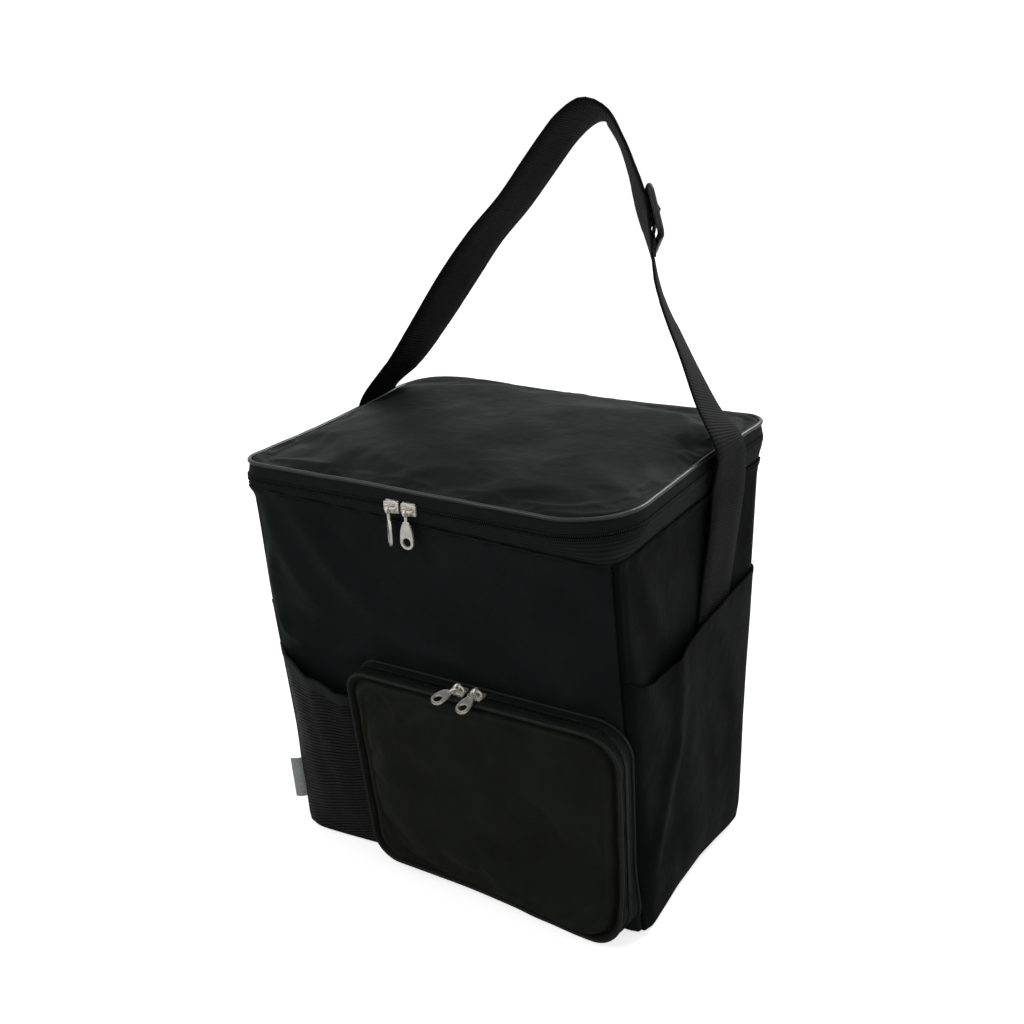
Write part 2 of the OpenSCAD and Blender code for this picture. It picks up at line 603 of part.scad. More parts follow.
front_panel();
back_panel();
left_side_panel();
right_side_panel();
bottom_panel();
base_board();
base_foam();
front_foam();
back_foam();
left_foam();
right_foam();
liner();
lower_zip_tape();
lower_zip_chain();
hinge_web();
lid_cover();
lid_foam();
lid_liner();
lid_piping();
upper_zip_tape();
upper_zip_chain();
lid_back_band();
left_slider();
left_pull();
right_slider();
right_pull();
pocket_gusset();
pocket_sill_strip();
pocket_rear_chain();
pocket_face();
pocket_piping();
pocket_zip_tape();
pocket_front_chain();
pocket_left_slider();
pocket_left_pull();
pocket_right_slider();
pocket_right_pull();
mesh_pocket();
mesh_hem();
left_slip_pocket();
right_slip_pocket();
left_strap_end();
right_strap_end();
strap_webbing();
strap_buckle();
strap_tail();
side_tag();
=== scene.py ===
import json
import math
import bpy
import numpy as np
from mathutils import Vector, Matrix, noise
from mathutils.bvhtree import BVHTree
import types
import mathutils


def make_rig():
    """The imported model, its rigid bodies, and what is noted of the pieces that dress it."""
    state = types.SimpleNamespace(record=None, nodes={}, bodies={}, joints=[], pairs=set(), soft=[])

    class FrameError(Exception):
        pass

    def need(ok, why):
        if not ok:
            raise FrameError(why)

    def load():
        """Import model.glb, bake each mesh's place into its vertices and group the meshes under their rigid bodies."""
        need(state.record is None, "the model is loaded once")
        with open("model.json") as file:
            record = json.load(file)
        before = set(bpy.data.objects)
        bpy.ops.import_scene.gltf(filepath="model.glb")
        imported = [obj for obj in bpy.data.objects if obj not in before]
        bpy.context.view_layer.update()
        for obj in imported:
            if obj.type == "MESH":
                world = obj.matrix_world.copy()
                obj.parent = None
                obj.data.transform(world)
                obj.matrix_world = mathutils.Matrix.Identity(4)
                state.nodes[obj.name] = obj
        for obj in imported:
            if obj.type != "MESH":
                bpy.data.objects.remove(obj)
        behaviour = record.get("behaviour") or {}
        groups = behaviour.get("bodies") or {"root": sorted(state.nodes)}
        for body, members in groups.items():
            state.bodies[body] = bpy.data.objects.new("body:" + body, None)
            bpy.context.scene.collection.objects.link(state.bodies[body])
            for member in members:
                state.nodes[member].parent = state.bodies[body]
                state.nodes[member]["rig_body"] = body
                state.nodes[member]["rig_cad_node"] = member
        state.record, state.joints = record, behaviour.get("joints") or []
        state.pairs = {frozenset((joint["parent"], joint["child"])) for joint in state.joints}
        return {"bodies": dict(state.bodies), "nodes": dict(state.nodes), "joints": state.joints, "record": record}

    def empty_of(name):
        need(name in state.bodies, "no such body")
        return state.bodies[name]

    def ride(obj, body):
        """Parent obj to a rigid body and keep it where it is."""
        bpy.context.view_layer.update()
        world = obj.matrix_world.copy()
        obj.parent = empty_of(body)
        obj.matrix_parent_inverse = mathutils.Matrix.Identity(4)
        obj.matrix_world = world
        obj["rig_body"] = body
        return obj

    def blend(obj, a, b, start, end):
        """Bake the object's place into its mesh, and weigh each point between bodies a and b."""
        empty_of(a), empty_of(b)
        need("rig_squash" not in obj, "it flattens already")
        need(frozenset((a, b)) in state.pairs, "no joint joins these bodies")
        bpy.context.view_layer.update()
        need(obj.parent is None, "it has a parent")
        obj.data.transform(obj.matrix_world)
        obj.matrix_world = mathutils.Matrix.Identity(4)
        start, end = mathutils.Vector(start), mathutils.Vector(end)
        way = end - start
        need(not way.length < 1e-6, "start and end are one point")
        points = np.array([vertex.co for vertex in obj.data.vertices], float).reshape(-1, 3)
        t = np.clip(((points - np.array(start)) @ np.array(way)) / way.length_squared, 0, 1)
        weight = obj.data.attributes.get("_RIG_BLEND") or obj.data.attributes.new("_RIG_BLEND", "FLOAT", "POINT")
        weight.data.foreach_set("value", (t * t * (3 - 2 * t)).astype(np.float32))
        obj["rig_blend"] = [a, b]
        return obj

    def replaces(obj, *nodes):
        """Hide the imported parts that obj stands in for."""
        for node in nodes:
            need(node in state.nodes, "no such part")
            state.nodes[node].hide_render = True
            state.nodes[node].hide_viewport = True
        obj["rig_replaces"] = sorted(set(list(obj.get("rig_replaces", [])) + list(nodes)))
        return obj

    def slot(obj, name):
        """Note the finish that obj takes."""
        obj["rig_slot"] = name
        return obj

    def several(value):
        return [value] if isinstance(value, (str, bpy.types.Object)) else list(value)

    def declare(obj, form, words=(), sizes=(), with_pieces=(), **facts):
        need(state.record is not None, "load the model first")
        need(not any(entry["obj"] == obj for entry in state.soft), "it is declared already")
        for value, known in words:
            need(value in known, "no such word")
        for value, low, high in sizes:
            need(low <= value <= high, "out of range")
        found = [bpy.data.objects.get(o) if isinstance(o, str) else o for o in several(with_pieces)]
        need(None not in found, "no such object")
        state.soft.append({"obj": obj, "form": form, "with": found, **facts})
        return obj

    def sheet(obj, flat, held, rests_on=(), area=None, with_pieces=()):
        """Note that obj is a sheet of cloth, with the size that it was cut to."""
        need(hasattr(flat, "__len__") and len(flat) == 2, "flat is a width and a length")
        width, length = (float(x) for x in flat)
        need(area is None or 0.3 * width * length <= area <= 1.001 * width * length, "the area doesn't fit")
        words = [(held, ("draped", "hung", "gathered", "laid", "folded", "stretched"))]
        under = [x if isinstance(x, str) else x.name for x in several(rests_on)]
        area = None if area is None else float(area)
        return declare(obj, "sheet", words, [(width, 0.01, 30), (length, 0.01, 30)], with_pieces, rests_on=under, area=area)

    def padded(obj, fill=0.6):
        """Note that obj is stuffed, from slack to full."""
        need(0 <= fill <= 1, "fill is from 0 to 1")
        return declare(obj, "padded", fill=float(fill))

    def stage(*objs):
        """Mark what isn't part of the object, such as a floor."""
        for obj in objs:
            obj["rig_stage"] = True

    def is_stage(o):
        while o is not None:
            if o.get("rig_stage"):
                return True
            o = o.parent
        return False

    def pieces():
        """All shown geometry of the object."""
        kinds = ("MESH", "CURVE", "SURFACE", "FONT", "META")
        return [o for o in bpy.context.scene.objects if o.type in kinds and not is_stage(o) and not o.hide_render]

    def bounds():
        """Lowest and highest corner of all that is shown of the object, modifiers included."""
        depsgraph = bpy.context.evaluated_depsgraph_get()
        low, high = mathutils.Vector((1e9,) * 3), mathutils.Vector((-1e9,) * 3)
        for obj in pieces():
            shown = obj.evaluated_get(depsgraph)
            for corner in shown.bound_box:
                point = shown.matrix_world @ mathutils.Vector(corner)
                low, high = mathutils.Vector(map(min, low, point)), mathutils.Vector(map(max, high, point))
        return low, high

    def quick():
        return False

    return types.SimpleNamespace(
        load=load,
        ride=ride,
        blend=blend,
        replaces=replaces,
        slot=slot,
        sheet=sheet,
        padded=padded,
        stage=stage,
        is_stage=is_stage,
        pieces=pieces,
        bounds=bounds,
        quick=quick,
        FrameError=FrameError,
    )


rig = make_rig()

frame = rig.load()
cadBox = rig.bounds()
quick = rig.quick()
print("frame loaded:", len(frame["nodes"]), "nodes")

# camera first, so that what it sees can place the small pieces
cameraFit = {
    "place": (0.52317, -0.85102, 0.67783),
    "turn": 31.42,  # degrees round from looking along +Y
    "down": 22.27,
    "roll": -2.27,
    "lens": 51.03,
    "sensor": 36.0,
    "shift": (0.0, 0.0),
    "frame": (1024, 1024),
}


def axesOf(x, y, z):
    # a turn whose own axes point these three ways
    return Matrix((x, y, z)).transposed().to_4x4()


def makeCamera(fit):
    a, e, r = (math.radians(fit[key]) for key in ("turn", "down", "roll"))
    ahead = Vector((-math.sin(a) * math.cos(e), math.cos(a) * math.cos(e), -math.sin(e)))
    right = Vector((math.cos(a), math.sin(a), 0))
    up = right.cross(ahead)
    sideways = right * math.cos(r) + up * math.sin(r)
    upright = up * math.cos(r) - right * math.sin(r)
    lens = bpy.data.cameras.new("photoCamera")
    lens.sensor_fit = "AUTO"
    lens.lens = fit["lens"]
    lens.sensor_width = fit["sensor"]
    lens.shift_x, lens.shift_y = fit["shift"]
    lens.clip_start, lens.clip_end = 0.05, 20
    camera = bpy.data.objects.new("photoCamera", lens)
    camera.matrix_world = Matrix.Translation(fit["place"]) @ axesOf(sideways, upright, -ahead)
    bpy.context.scene.collection.objects.link(camera)
    bpy.context.scene.camera = camera
    return camera


camera = makeCamera(cameraFit)

# where things show, in the photograph's frame: the object's edges without its strap and tag, then features
# the sliders' and pulls' points were moved to the render, because the solids settle where those pieces are
imagePoints = {
    "left": 247.0,
    "right": 762.5,
    "top": 376.5,
    "bottom": 947.0,
    "leftZipSlider": (391.0, 506.0),
    "rightZipSlider": (408.0, 509.0),
    "leftZipPull": (388.5, 526.0),
    "rightZipPull": (407.0, 529.5),
    "pocketLeftZipPull": (445.0, 694.5),
    "pocketRightZipPull": (467.0, 701.0),
    "sideTag": (296.0, 775.0),
    "strapBuckle": (652.5, 217.5),
    "strapTop": (590.0, 98.0),
    "frontRightSeamTop": (613.0, 568.0),
}


def rayThrough(spot):
    # the camera's ray through a point of the photograph
    wide, high = cameraFit["frame"]
    longSide = max(wide, high)
    shiftX, shiftY = cameraFit["shift"]
    way = Vector((spot[0] - wide / 2 + shiftX * longSide, high / 2 - spot[1] + shiftY * longSide,
                  -longSide * cameraFit["lens"] / cameraFit["sensor"]))
    return camera.matrix_world.translation.copy(), (camera.matrix_world.to_3x3() @ way).normalized()


def showsAt(places):
    # where places in space show in the photograph's frame
    wide, high = cameraFit["frame"]
    longSide = max(wide, high)
    shiftX, shiftY = cameraFit["shift"]
    seen = np.asarray(places) - np.array(camera.matrix_world.translation)
    seen = seen @ np.array(camera.matrix_world.to_3x3())
    scale = -longSide * cameraFit["lens"] / cameraFit["sensor"] / seen[:, 2]
    return np.stack([seen[:, 0] * scale + wide / 2 - shiftX * longSide,
                     high / 2 + shiftY * longSide - seen[:, 1] * scale], 1)


def treeOf(*pieces):
    verts, polygons = [], []
    for piece in pieces:
        first = len(verts)
        verts += [v.co.copy() for v in piece.data.vertices]
        polygons += [[first + v for v in face.vertices] for face in piece.data.polygons]
    return BVHTree.FromPolygons(verts, polygons)


def onSeen(spot, *carriers):
    # the place on the carrying pieces that shows at an image point, or the place nearest to its ray
    start, way = rayThrough(spot)
    tree = treeOf(*carriers)
    place = tree.ray_cast(start, way)[0]
    if place is None:
        near = [(tree.find_nearest(start + way * (0.7 + 0.005 * i)), i) for i in range(180)]
        place = min(near, key=lambda found: found[0][3])[0][0]
    return place


print("camera placed")

# small tools for making pieces

def deselect():
    if bpy.context.object and bpy.context.object.mode != "OBJECT":
        bpy.ops.object.mode_set(mode="OBJECT")
    bpy.ops.object.select_all(action="DESELECT")


def pick(piece):
    deselect()
    piece.select_set(True)
    bpy.context.view_layer.objects.active = piece


def editAll(piece, *steps):
    pick(piece)
    bpy.ops.object.mode_set(mode="EDIT")
    bpy.ops.mesh.select_all(action="SELECT")
    for step in steps:
        step()
    bpy.ops.object.mode_set(mode="OBJECT")


def applyModifier(piece, kind, **settings):
    pick(piece)
    modifier = piece.modifiers.new(kind.lower(), kind)
    for key, value in settings.items():
        setattr(modifier, key, value)
    bpy.ops.object.modifier_apply(modifier=modifier.name)


def smoothShade(piece, angle=40):
    pick(piece)
    bpy.ops.object.shade_smooth_by_angle(angle=math.radians(angle))


def cloth(name, across, along, place, size, loop=False):
    # a flat grid, laid over a surface: place gives the point for a share across and along
    deselect()
    bpy.ops.mesh.primitive_grid_add(x_subdivisions=across, y_subdivisions=along, size=2, location=(0, 0, 0))
    piece = bpy.context.object
    piece.name = name
    mesh = piece.data
    for corner in mesh.uv_layers.active.data:
        corner.uv = (corner.uv[0] * size[0], corner.uv[1] * size[1])
    for vert in mesh.vertices:
        vert.co = place((vert.co.x + 1) / 2, (vert.co.y + 1) / 2)
    if loop:
        editAll(piece, lambda: bpy.ops.mesh.remove_doubles(threshold=1e-6))
    return piece


def thicken(piece, thickness):
    applyModifier(piece, "SOLIDIFY", thickness=thickness, offset=-1)


def faceOut(piece):
    editAll(piece, lambda: bpy.ops.mesh.normals_make_consistent(inside=False))


def faceTowards(piece, across, way):
    # faces point outward: the face in the grid's middle looks the given way
    faceOut(piece)
    faces = piece.data.polygons
    if faces[len(faces) // 2 + across // 2].normal.dot(way) < 0:
        editAll(piece, lambda: bpy.ops.mesh.flip_normals())


def layer(piece, across, way, thickness):
    # a grid becomes one layer of fabric
    faceTowards(piece, across, way)
    thicken(piece, thickness)
    smoothShade(piece)


def join(name, pieces):
    deselect()
    for piece in pieces:
        piece.select_set(True)
    bpy.context.view_layer.objects.active = pieces[0]
    bpy.ops.object.join()
    pieces[0].name = name
    return pieces[0]


def directions(path, closed):
    # steady frames along a path: tangents from the neighbours
    count = len(path)
    found = []
    for i in range(count):
        before = path[(i - 1) % count] if closed else path[max(i - 1, 0)]
        after = path[(i + 1) % count] if closed else path[min(i + 1, count - 1)]
        found.append((after - before).normalized())
    return found


def tube(name, path, outs, section, closed=False):
    # a section of (out, side) points swept along a path; outs points away from the surface it lies on
    tangents = directions(path, closed)
    rows = len(path) + (1 if closed else 0)
    count = len(section)
    lengths = np.cumsum([0] + [(path[(i + 1) % len(path)] - path[i]).length for i in range(rows - 1)])

    def place(u, v):
        i = int(round(v * (rows - 1))) % len(path)
        j = int(round(u * count)) % count
        side = tangents[i].cross(outs[i]).normalized()
        out = side.cross(tangents[i]).normalized()
        return path[i] + out * section[j][0] + side * section[j][1]

    around = sum((Vector(section[(j + 1) % count]) - Vector(section[j])).length for j in range(count))
    piece = cloth(name, count, rows - 1, place, (around, float(lengths[-1])), loop=True)
    if not closed:
        editAll(piece, lambda: bpy.ops.mesh.select_all(action="DESELECT"),
                lambda: bpy.ops.mesh.select_non_manifold(extend=False, use_wire=False, use_multi_face=False,
                                                         use_non_contiguous=False, use_verts=False),
                lambda: bpy.ops.mesh.fill_holes(sides=0))
    faceOut(piece)
    smoothShade(piece, 50)
    return piece


def roundSection(radius, count=10, flat=1.0):
    return [(radius * flat * math.cos(2 * math.pi * i / count), radius * math.sin(2 * math.pi * i / count))
            for i in range(count)]


def bandSection(thick, wide):
    # a flat section with round edges
    edge = thick * 0.5
    half = wide / 2
    rows = [(edge, -half + edge), (edge, -half / 2), (edge, 0), (edge, half / 2), (edge, half - edge),
            (edge * 0.5, half - edge * 0.2), (-edge * 0.5, half - edge * 0.2)]
    return rows + [(-out, -side) for out, side in rows]


def copies(name, source, places):
    # one small mesh set down many times; places are 4x4 matrices
    verts = np.array([v.co for v in source.data.vertices])
    faces = [list(p.vertices) for p in source.data.polygons]
    count = len(verts)
    points, polygons = [], []
    for index, place in enumerate(places):
        m = np.array(place)
        points.append(verts @ m[:3, :3].T + m[:3, 3])
        polygons += [[v + index * count for v in face] for face in faces]
    mesh = bpy.data.meshes.new(name)
    mesh.from_pydata(np.concatenate(points).tolist(), [], polygons)
    piece = bpy.data.objects.new(name, mesh)
    bpy.context.scene.collection.objects.link(piece)
    smoothShade(piece, 40)
    return piece


def standOn(point, along, out):
    # a matrix whose X runs along and whose Z points out
    along = along.normalized()
    side = out.cross(along).normalized()
    up = along.cross(side).normalized()
    return Matrix.Translation(point) @ axesOf(along, side, up)


def evenly(path, step, closed=False):
    # points and tangents every step along a path
    points = list(path) + ([path[0]] if closed else [])
    lengths = np.cumsum([0] + [(points[i + 1] - points[i]).length for i in range(len(points) - 1)])
    total = float(lengths[-1])
    count = max(int(total / step), 1)
    found = []
    for n in range(count):
        s = (n + 0.5) * total / count
        i = min(int(np.searchsorted(lengths, s)), len(points) - 1)
        i = max(i, 1)
        share = (s - lengths[i - 1]) / max(lengths[i] - lengths[i - 1], 1e-9)
        found.append((points[i - 1].lerp(points[i], share), (points[i] - points[i - 1]).normalized(), i - 1))
    return found


def mix(a, b, t):
    return a + (b - a) * t


def ease(t):
    t = min(max(t, 0.0), 1.0)
    return t * t * (3 - 2 * t)


def fromTable(rows, x, bend=ease):
    # a value read between a table's rows, eased from one row to the next
    if x <= rows[0][0]:
        return rows[0][1]
    for (x0, y0), (x1, y1) in zip(rows, rows[1:]):
        if x <= x1:
            return mix(y0, y1, bend((x - x0) / (x1 - x0)))
    return rows[-1][1]


def lineTable(rows, x):
    # the same, in straight lines
    return fromTable(rows, x, lambda share: share)


def halfway(isShort, steps=26):
    # the share at which a growing thing stops being too short
    low, high = 0.0, 0.9999
    for step in range(steps):
        middle = (low + high) / 2
        if isShort(middle):
            low = middle
        else:
            high = middle
    return (low + high) / 2


def curveThrough(points, steps):
    # a smooth path through a few points
    found = []
    last = len(points) - 1
    for i in range(last):
        a, b, c, d = points[max(i - 1, 0)], points[i], points[i + 1], points[min(i + 2, last)]
        for k in range(steps):
            t = k / steps
            found.append(0.5 * (2 * b + (c - a) * t + (2 * a - 5 * b + 4 * c - d) * t * t
                                + (3 * b - a - 3 * c + d) * t * t * t))
    found.append(points[-1])
    return found


# the bag's soft outside: k runs round it, 0 front left seam, 1 front right, 2 back right, 3 back left

bag = {
    "base": (0.150, 0.084),  # half width and half depth at the floor
    "top": (0.1475, 0.1175),  # the same at the zip
    "bodyRadii": (0.024, 0.016, 0.020, 0.016),
    "lidRadii": (0.016, 0.050, 0.017, 0.044),
    "foot": 0.007,
    "bodyTop": 0.297,
    "zipLow": 0.311,
    "zipLine": 0.314,
    "zipHigh": 0.317,
    "piping": 0.326,
    "pipingRadius": 0.0016,
    # how far each corner is pulled out, by height
    "pulls": (
        [(0.0, 0.0085), (0.05, 0.0075), (0.10, 0.0060), (0.20, 0.0065), (0.296, 0.005), (0.312, 0.0040),
         (0.326, 0.0030)],
        [(0.0, 0.0090), (0.03, 0.0070), (0.09, 0.0020), (0.326, 0.0)],
        [(0.0, 0.0085), (0.05, 0.0080), (0.12, 0.0085), (0.20, 0.0090), (0.28, 0.0090), (0.311, 0.0105),
         (0.326, 0.0100)],
        [(0.0, 0.0012), (0.295, 0.0012), (0.311, 0.0)],
    ),
    # soft swellings on each side: share along, height, half length, half height, rise
    "swells": (
        [(0.5, 0.24, 0.30, 0.05, 0.0014), (0.13, 0.19, 0.09, 0.07, 0.0014)],
        [(0.45, 0.14, 0.40, 0.10, 0.0015), (0.42, 0.12, 0.10, 0.12, 0.0014),
         (0.60, 0.03, 0.45, 0.05, 0.0050)],
        [(0.5, 0.15, 0.40, 0.12, 0.0025)],
        [(0.5, 0.16, 0.40, 0.12, 0.001)],
    ),
    # folds: side, from (share along, height) to (share along, height), half width, rise
    "folds": (
        (0, (0.14, 0.300), (0.33, 0.222), 0.009, 0.0046),
        (0, (0.06, 0.290), (0.19, 0.215), 0.008, 0.0036),
        (0, (0.21, 0.298), (0.38, 0.235), 0.008, -0.0030),
        (0, (0.055, 0.262), (0.038, 0.200), 0.007, 0.0044),
        (0, (0.035, 0.203), (0.12, 0.184), 0.006, 0.0046),
        (0, (0.10, 0.186), (0.27, 0.181), 0.006, 0.0040),
        (0, (0.24, 0.196), (0.08, 0.214), 0.006, -0.0026),
        (0, (0.55, 0.292), (0.70, 0.250), 0.013, 0.0016),
        (0, (0.86, 0.290), (0.72, 0.215), 0.012, 0.0020),
        (0, (0.93, 0.262), (0.83, 0.196), 0.009, -0.0016),
        (0, (0.36, 0.202), (0.64, 0.196), 0.008, 0.0022),
        (1, (0.12, 0.294), (0.30, 0.215), 0.012, 0.0022),
        (1, (0.05, 0.235), (0.22, 0.150), 0.010, 0.0018),
        (1, (0.93, 0.285), (0.74, 0.210), 0.012, -0.0014),
        (1, (0.90, 0.100), (0.70, 0.160), 0.012, 0.0012),
        (2, (0.08, 0.290), (0.30, 0.200), 0.013, 0.0016),
        (2, (0.92, 0.285), (0.68, 0.205), 0.013, 0.0016),
        (2, (0.20, 0.030), (0.45, 0.075), 0.012, 0.0012),
        (2, (0.82, 0.035), (0.60, 0.080), 0.012, -0.0010),
        (3, (0.08, 0.285), (0.28, 0.205), 0.012, 0.0014),
        (3, (0.92, 0.280), (0.75, 0.205), 0.011, 0.0012),
    ),
}


def outline(k, halfWide, halfDeep, radii):
    # the point and the normal at k on a rectangle with round corners, its side and the share along it
    side = int(math.floor(k)) % 4
    t = k - math.floor(k)
    ra, rb = radii[side], radii[(side + 1) % 4]
    length = 2 * (halfWide if side % 2 == 0 else halfDeep)
    arcA, arcB = ra * math.pi / 4, rb * math.pi / 4
    straight = length - ra - rb
    s = t * (arcA + straight + arcB)
    if s < arcA:
        phi = math.pi / 4 - s / ra
        a, o, na, no = ra - ra * math.sin(phi), ra * math.cos(phi) - ra, -math.sin(phi), math.cos(phi)
    elif s > arcA + straight:
        phi = (s - arcA - straight) / rb
        a, o, na, no = length - rb + rb * math.sin(phi), rb * math.cos(phi) - rb, math.sin(phi), math.cos(phi)
    else:
        a, o, na, no = ra + s - arcA, 0.0, 0.0, 1.0
    w, d = halfWide, halfDeep
    start, along, out = (((-w, -d), (1, 0), (0, -1)), ((w, -d), (0, 1), (1, 0)),
                         ((w, d), (-1, 0), (0, 1)), ((-w, d), (0, -1), (-1, 0)))[side]
    point = Vector((start[0] + along[0] * a + out[0] * o, start[1] + along[1] * a + out[1] * o, 0))
    normal = Vector((along[0] * na + out[0] * no, along[1] * na + out[1] * no, 0))
    return point, normal, side, t


def rimSag(k):
    # the lid's rim hangs a little along the left and the back
    t = k - math.floor(k)
    return (0.0, 0.0, 0.0012, 0.0022)[int(math.floor(k)) % 4] * math.sin(math.pi * t)


cornerWays = (Vector((-1, -1, 0)).normalized(), Vector((1, -1, 0)).normalized(),
              Vector((1, 1, 0)).normalized(), Vector((-1, 1, 0)).normalized())


def cornerPull(k, z):
    # how far the seams at the corners are pulled out
    total = Vector((0, 0, 0))
    for corner in range(4):
        apart = abs((k - corner + 2) % 4 - 2)
        if apart < 0.45:
            total += cornerWays[corner] * fromTable(bag["pulls"][corner], z) * ease(1 - apart / 0.45)
    return total


def fromLine(x, y, a, b):
    # where a point lies by the line from a to b: the share along it, and the steps off its nearest spot
    dx, dy = b[0] - a[0], b[1] - a[1]
    share = ((x - a[0]) * dx + (y - a[1]) * dy) / (dx * dx + dy * dy)
    near = min(max(share, 0), 1)
    return share, x - a[0] - dx * near, y - a[1] - dy * near


def softRise(side, t, z):
    # the cloth's swellings, folds and small waves on one side, flat at the seams
    rise = 0.0
    for ct, cz, ht, hz, amount in bag["swells"][side]:
        rise += amount * math.exp(-((t - ct) / ht) ** 2 - ((z - cz) / hz) ** 2)
    length = 0.29 if side % 2 == 0 else 0.20
    for foldSide, a, b, width, amount in bag["folds"]:
        if foldSide == side:
            a, b = (a[0] * length, a[1]), (b[0] * length, b[1])
            share, offX, offZ = fromLine(t * length, z, a, b)
            bend = 0.006 * math.sin(3.1 * min(max(share, 0), 1) + 9 * a[0])
            away = math.hypot(offX + bend, offZ) / width
            fade = math.sin(math.pi * min(max(share * 0.8 + 0.1, 0.02), 0.98))
            rise += amount * math.exp(-away * away) * fade
    rise += 0.0006 * noise.noise(Vector((t * 9 + side * 13, z * 24, 1.7)))
    seam = min(t, 1 - t) * length
    return rise * ease(seam / 0.02)


def footIn(z):
    # how far the walls turn in at the floor
    r = bag["foot"]
    return 0.0 if z >= r else r - math.sqrt(max(r * r - (r - z) ** 2, 0))


def shell(k, z, lift=0.0):
    # the bag's outside at k and a height, or a point that stands off it
    share = min(z / bag["zipLow"], 1.0)
    halfWide = mix(bag["base"][0], bag["top"][0], share)
    halfDeep = mix(bag["base"][1], bag["top"][1], share)
    turn = ease((z - 0.2975) / 0.013)
    radii = [mix(a, b, turn) for a, b in zip(bag["bodyRadii"], bag["lidRadii"])]
    point, normal, side, t = outline(k, halfWide, halfDeep, radii)
    rise = softRise(side, t, z) * ease((0.310 - z) / 0.02) * (0.45 + 0.55 * ease(z / 0.02))
    point = point + cornerPull(k, z) + normal * (lift + rise - footIn(z))
    point.z = z
    return point


def outAt(k, z):
    # the way out of the bag's outside
    a, b = shell(k - 0.004, z), shell(k + 0.004, z)
    c, d = shell(k, z - 0.002), shell(k, z + 0.002)
    return (b - a).cross(d - c).normalized()


def frontK(x, z):
    # where along the front side a given x lies
    return halfway(lambda k: shell(k, z).x < x)


# materials: a wire is one value in a node tree, and sums of wires make new ones

class Wire:
    def __init__(self, paint, socket):
        self.paint = paint
        self.socket = socket

    def does(self, operation, *others, clamp=False):
        return self.paint.node("ShaderNodeMath", self, *others, operation=operation, use_clamp=clamp)

    def __add__(self, other):
        return self.does("ADD", other)

    def __sub__(self, other):
        return self.does("SUBTRACT", other)

    def __mul__(self, other):
        return self.does("MULTIPLY", other)

    def __rsub__(self, other):
        return self.paint.node("ShaderNodeMath", other, self, operation="SUBTRACT")

    def spread(self, low, high, to=(0.0, 1.0)):
        return self.paint.node("ShaderNodeMapRange", self, low, high, to[0], to[1],
                               interpolation_type="SMOOTHSTEP")


class Paint:
    def __init__(self, name, colour, rough, metal=0.0, coat=0.0, specular=0.5):
        self.material = bpy.data.materials.new(name)
        self.material.use_nodes = True
        self.tree = self.material.node_tree
        self.shader = self.tree.nodes["Principled BSDF"]
        self.put("Base Color", (*colour, 1))
        self.put("Roughness", rough)
        self.put("Metallic", metal)
        self.put("Coat Weight", coat)
        self.put("Specular IOR Level", specular)

    def put(self, name, value):
        socket = self.shader.inputs[name]
        if isinstance(value, Wire):
            self.tree.links.new(value.socket, socket)
        else:
            socket.default_value = value

    def node(self, kind, *values, out=0, named=None, **settings):
        made = self.tree.nodes.new(kind)
        for key, value in settings.items():
            setattr(made, key, value)
        for socket, value in [(made.inputs[i], v) for i, v in enumerate(values)] + [
                (made.inputs[key], v) for key, v in (named or {}).items()]:
            if value is None:
                continue
            if isinstance(value, Wire):
                self.tree.links.new(value.socket, socket)
            else:
                socket.default_value = value
        return Wire(self, made.outputs[out])

    def where(self, kind="Object"):
        return self.node("ShaderNodeTexCoord", out={"Object": 3, "UV": 2}[kind])

    def cloud(self, scale, detail=3.0, rough=0.5, where=None):
        return self.node("ShaderNodeTexNoise", named={"Vector": where or self.where(), "Scale": scale,
                                                      "Detail": detail, "Roughness": rough})

    def parts(self, where):
        return [self.node("ShaderNodeSeparateXYZ", where, out=i) for i in range(3)]

    def blendColour(self, share, a, b):
        made = self.tree.nodes.new("ShaderNodeMix")
        made.data_type = "RGBA"
        self.tree.links.new(share.socket, made.inputs[0])
        for socket, value in ((made.inputs[6], a), (made.inputs[7], b)):
            if isinstance(value, Wire):
                self.tree.links.new(value.socket, socket)
            else:
                socket.default_value = (*value, 1)
        return Wire(self, made.outputs[2])

    def bump(self, height, distance, strength=1.0):
        self.put("Normal", self.node("ShaderNodeBump", named={"Height": height, "Distance": distance,
                                                              "Strength": strength}))

    def ribs(self, value, pitch):
        return (value * (2 * math.pi / pitch)).does("SINE") * 0.5 + 0.5


def shade(colour, amount):
    return tuple(min(c * amount, 1) for c in colour)


def fabricPaint(name, colour, rough, wrinkle, specular=0.06, weave=0.0011):
    # woven cloth, a little worn, with fine creases
    paint = Paint(name, colour, rough, specular=specular)
    across, along = paint.parts(paint.where("UV"))[:2]
    worn = paint.cloud(22, 4)
    paint.put("Base Color",
              paint.blendColour(worn.spread(0.3, 0.75), shade(colour, 0.82), shade(colour, 1.2)))
    paint.put("Roughness", worn.spread(0.25, 0.8, (rough + 0.07, rough - 0.07)))
    cells = paint.ribs(across, weave) * paint.ribs(along, weave)
    creases = paint.cloud(55, 3, 0.55)
    paint.bump(cells * 0.00006 + creases * wrinkle, 1.0, 0.9)
    return paint.material


def plainPaint(name, colour, rough, metal=0.0, grain=0.0, scale=200, specular=0.5, coat=0.0):
    paint = Paint(name, colour, rough, metal, specular=specular, coat=coat)
    cloudy = paint.cloud(scale, 3)
    paint.put("Roughness", cloudy.spread(0.25, 0.8, (rough + 0.06, rough - 0.05)))
    paint.put("Base Color",
              paint.blendColour(cloudy.spread(0.3, 0.8), shade(colour, 0.88), shade(colour, 1.12)))
    if grain:
        paint.bump(cloudy * grain, 1.0, 0.8)
    return paint.material


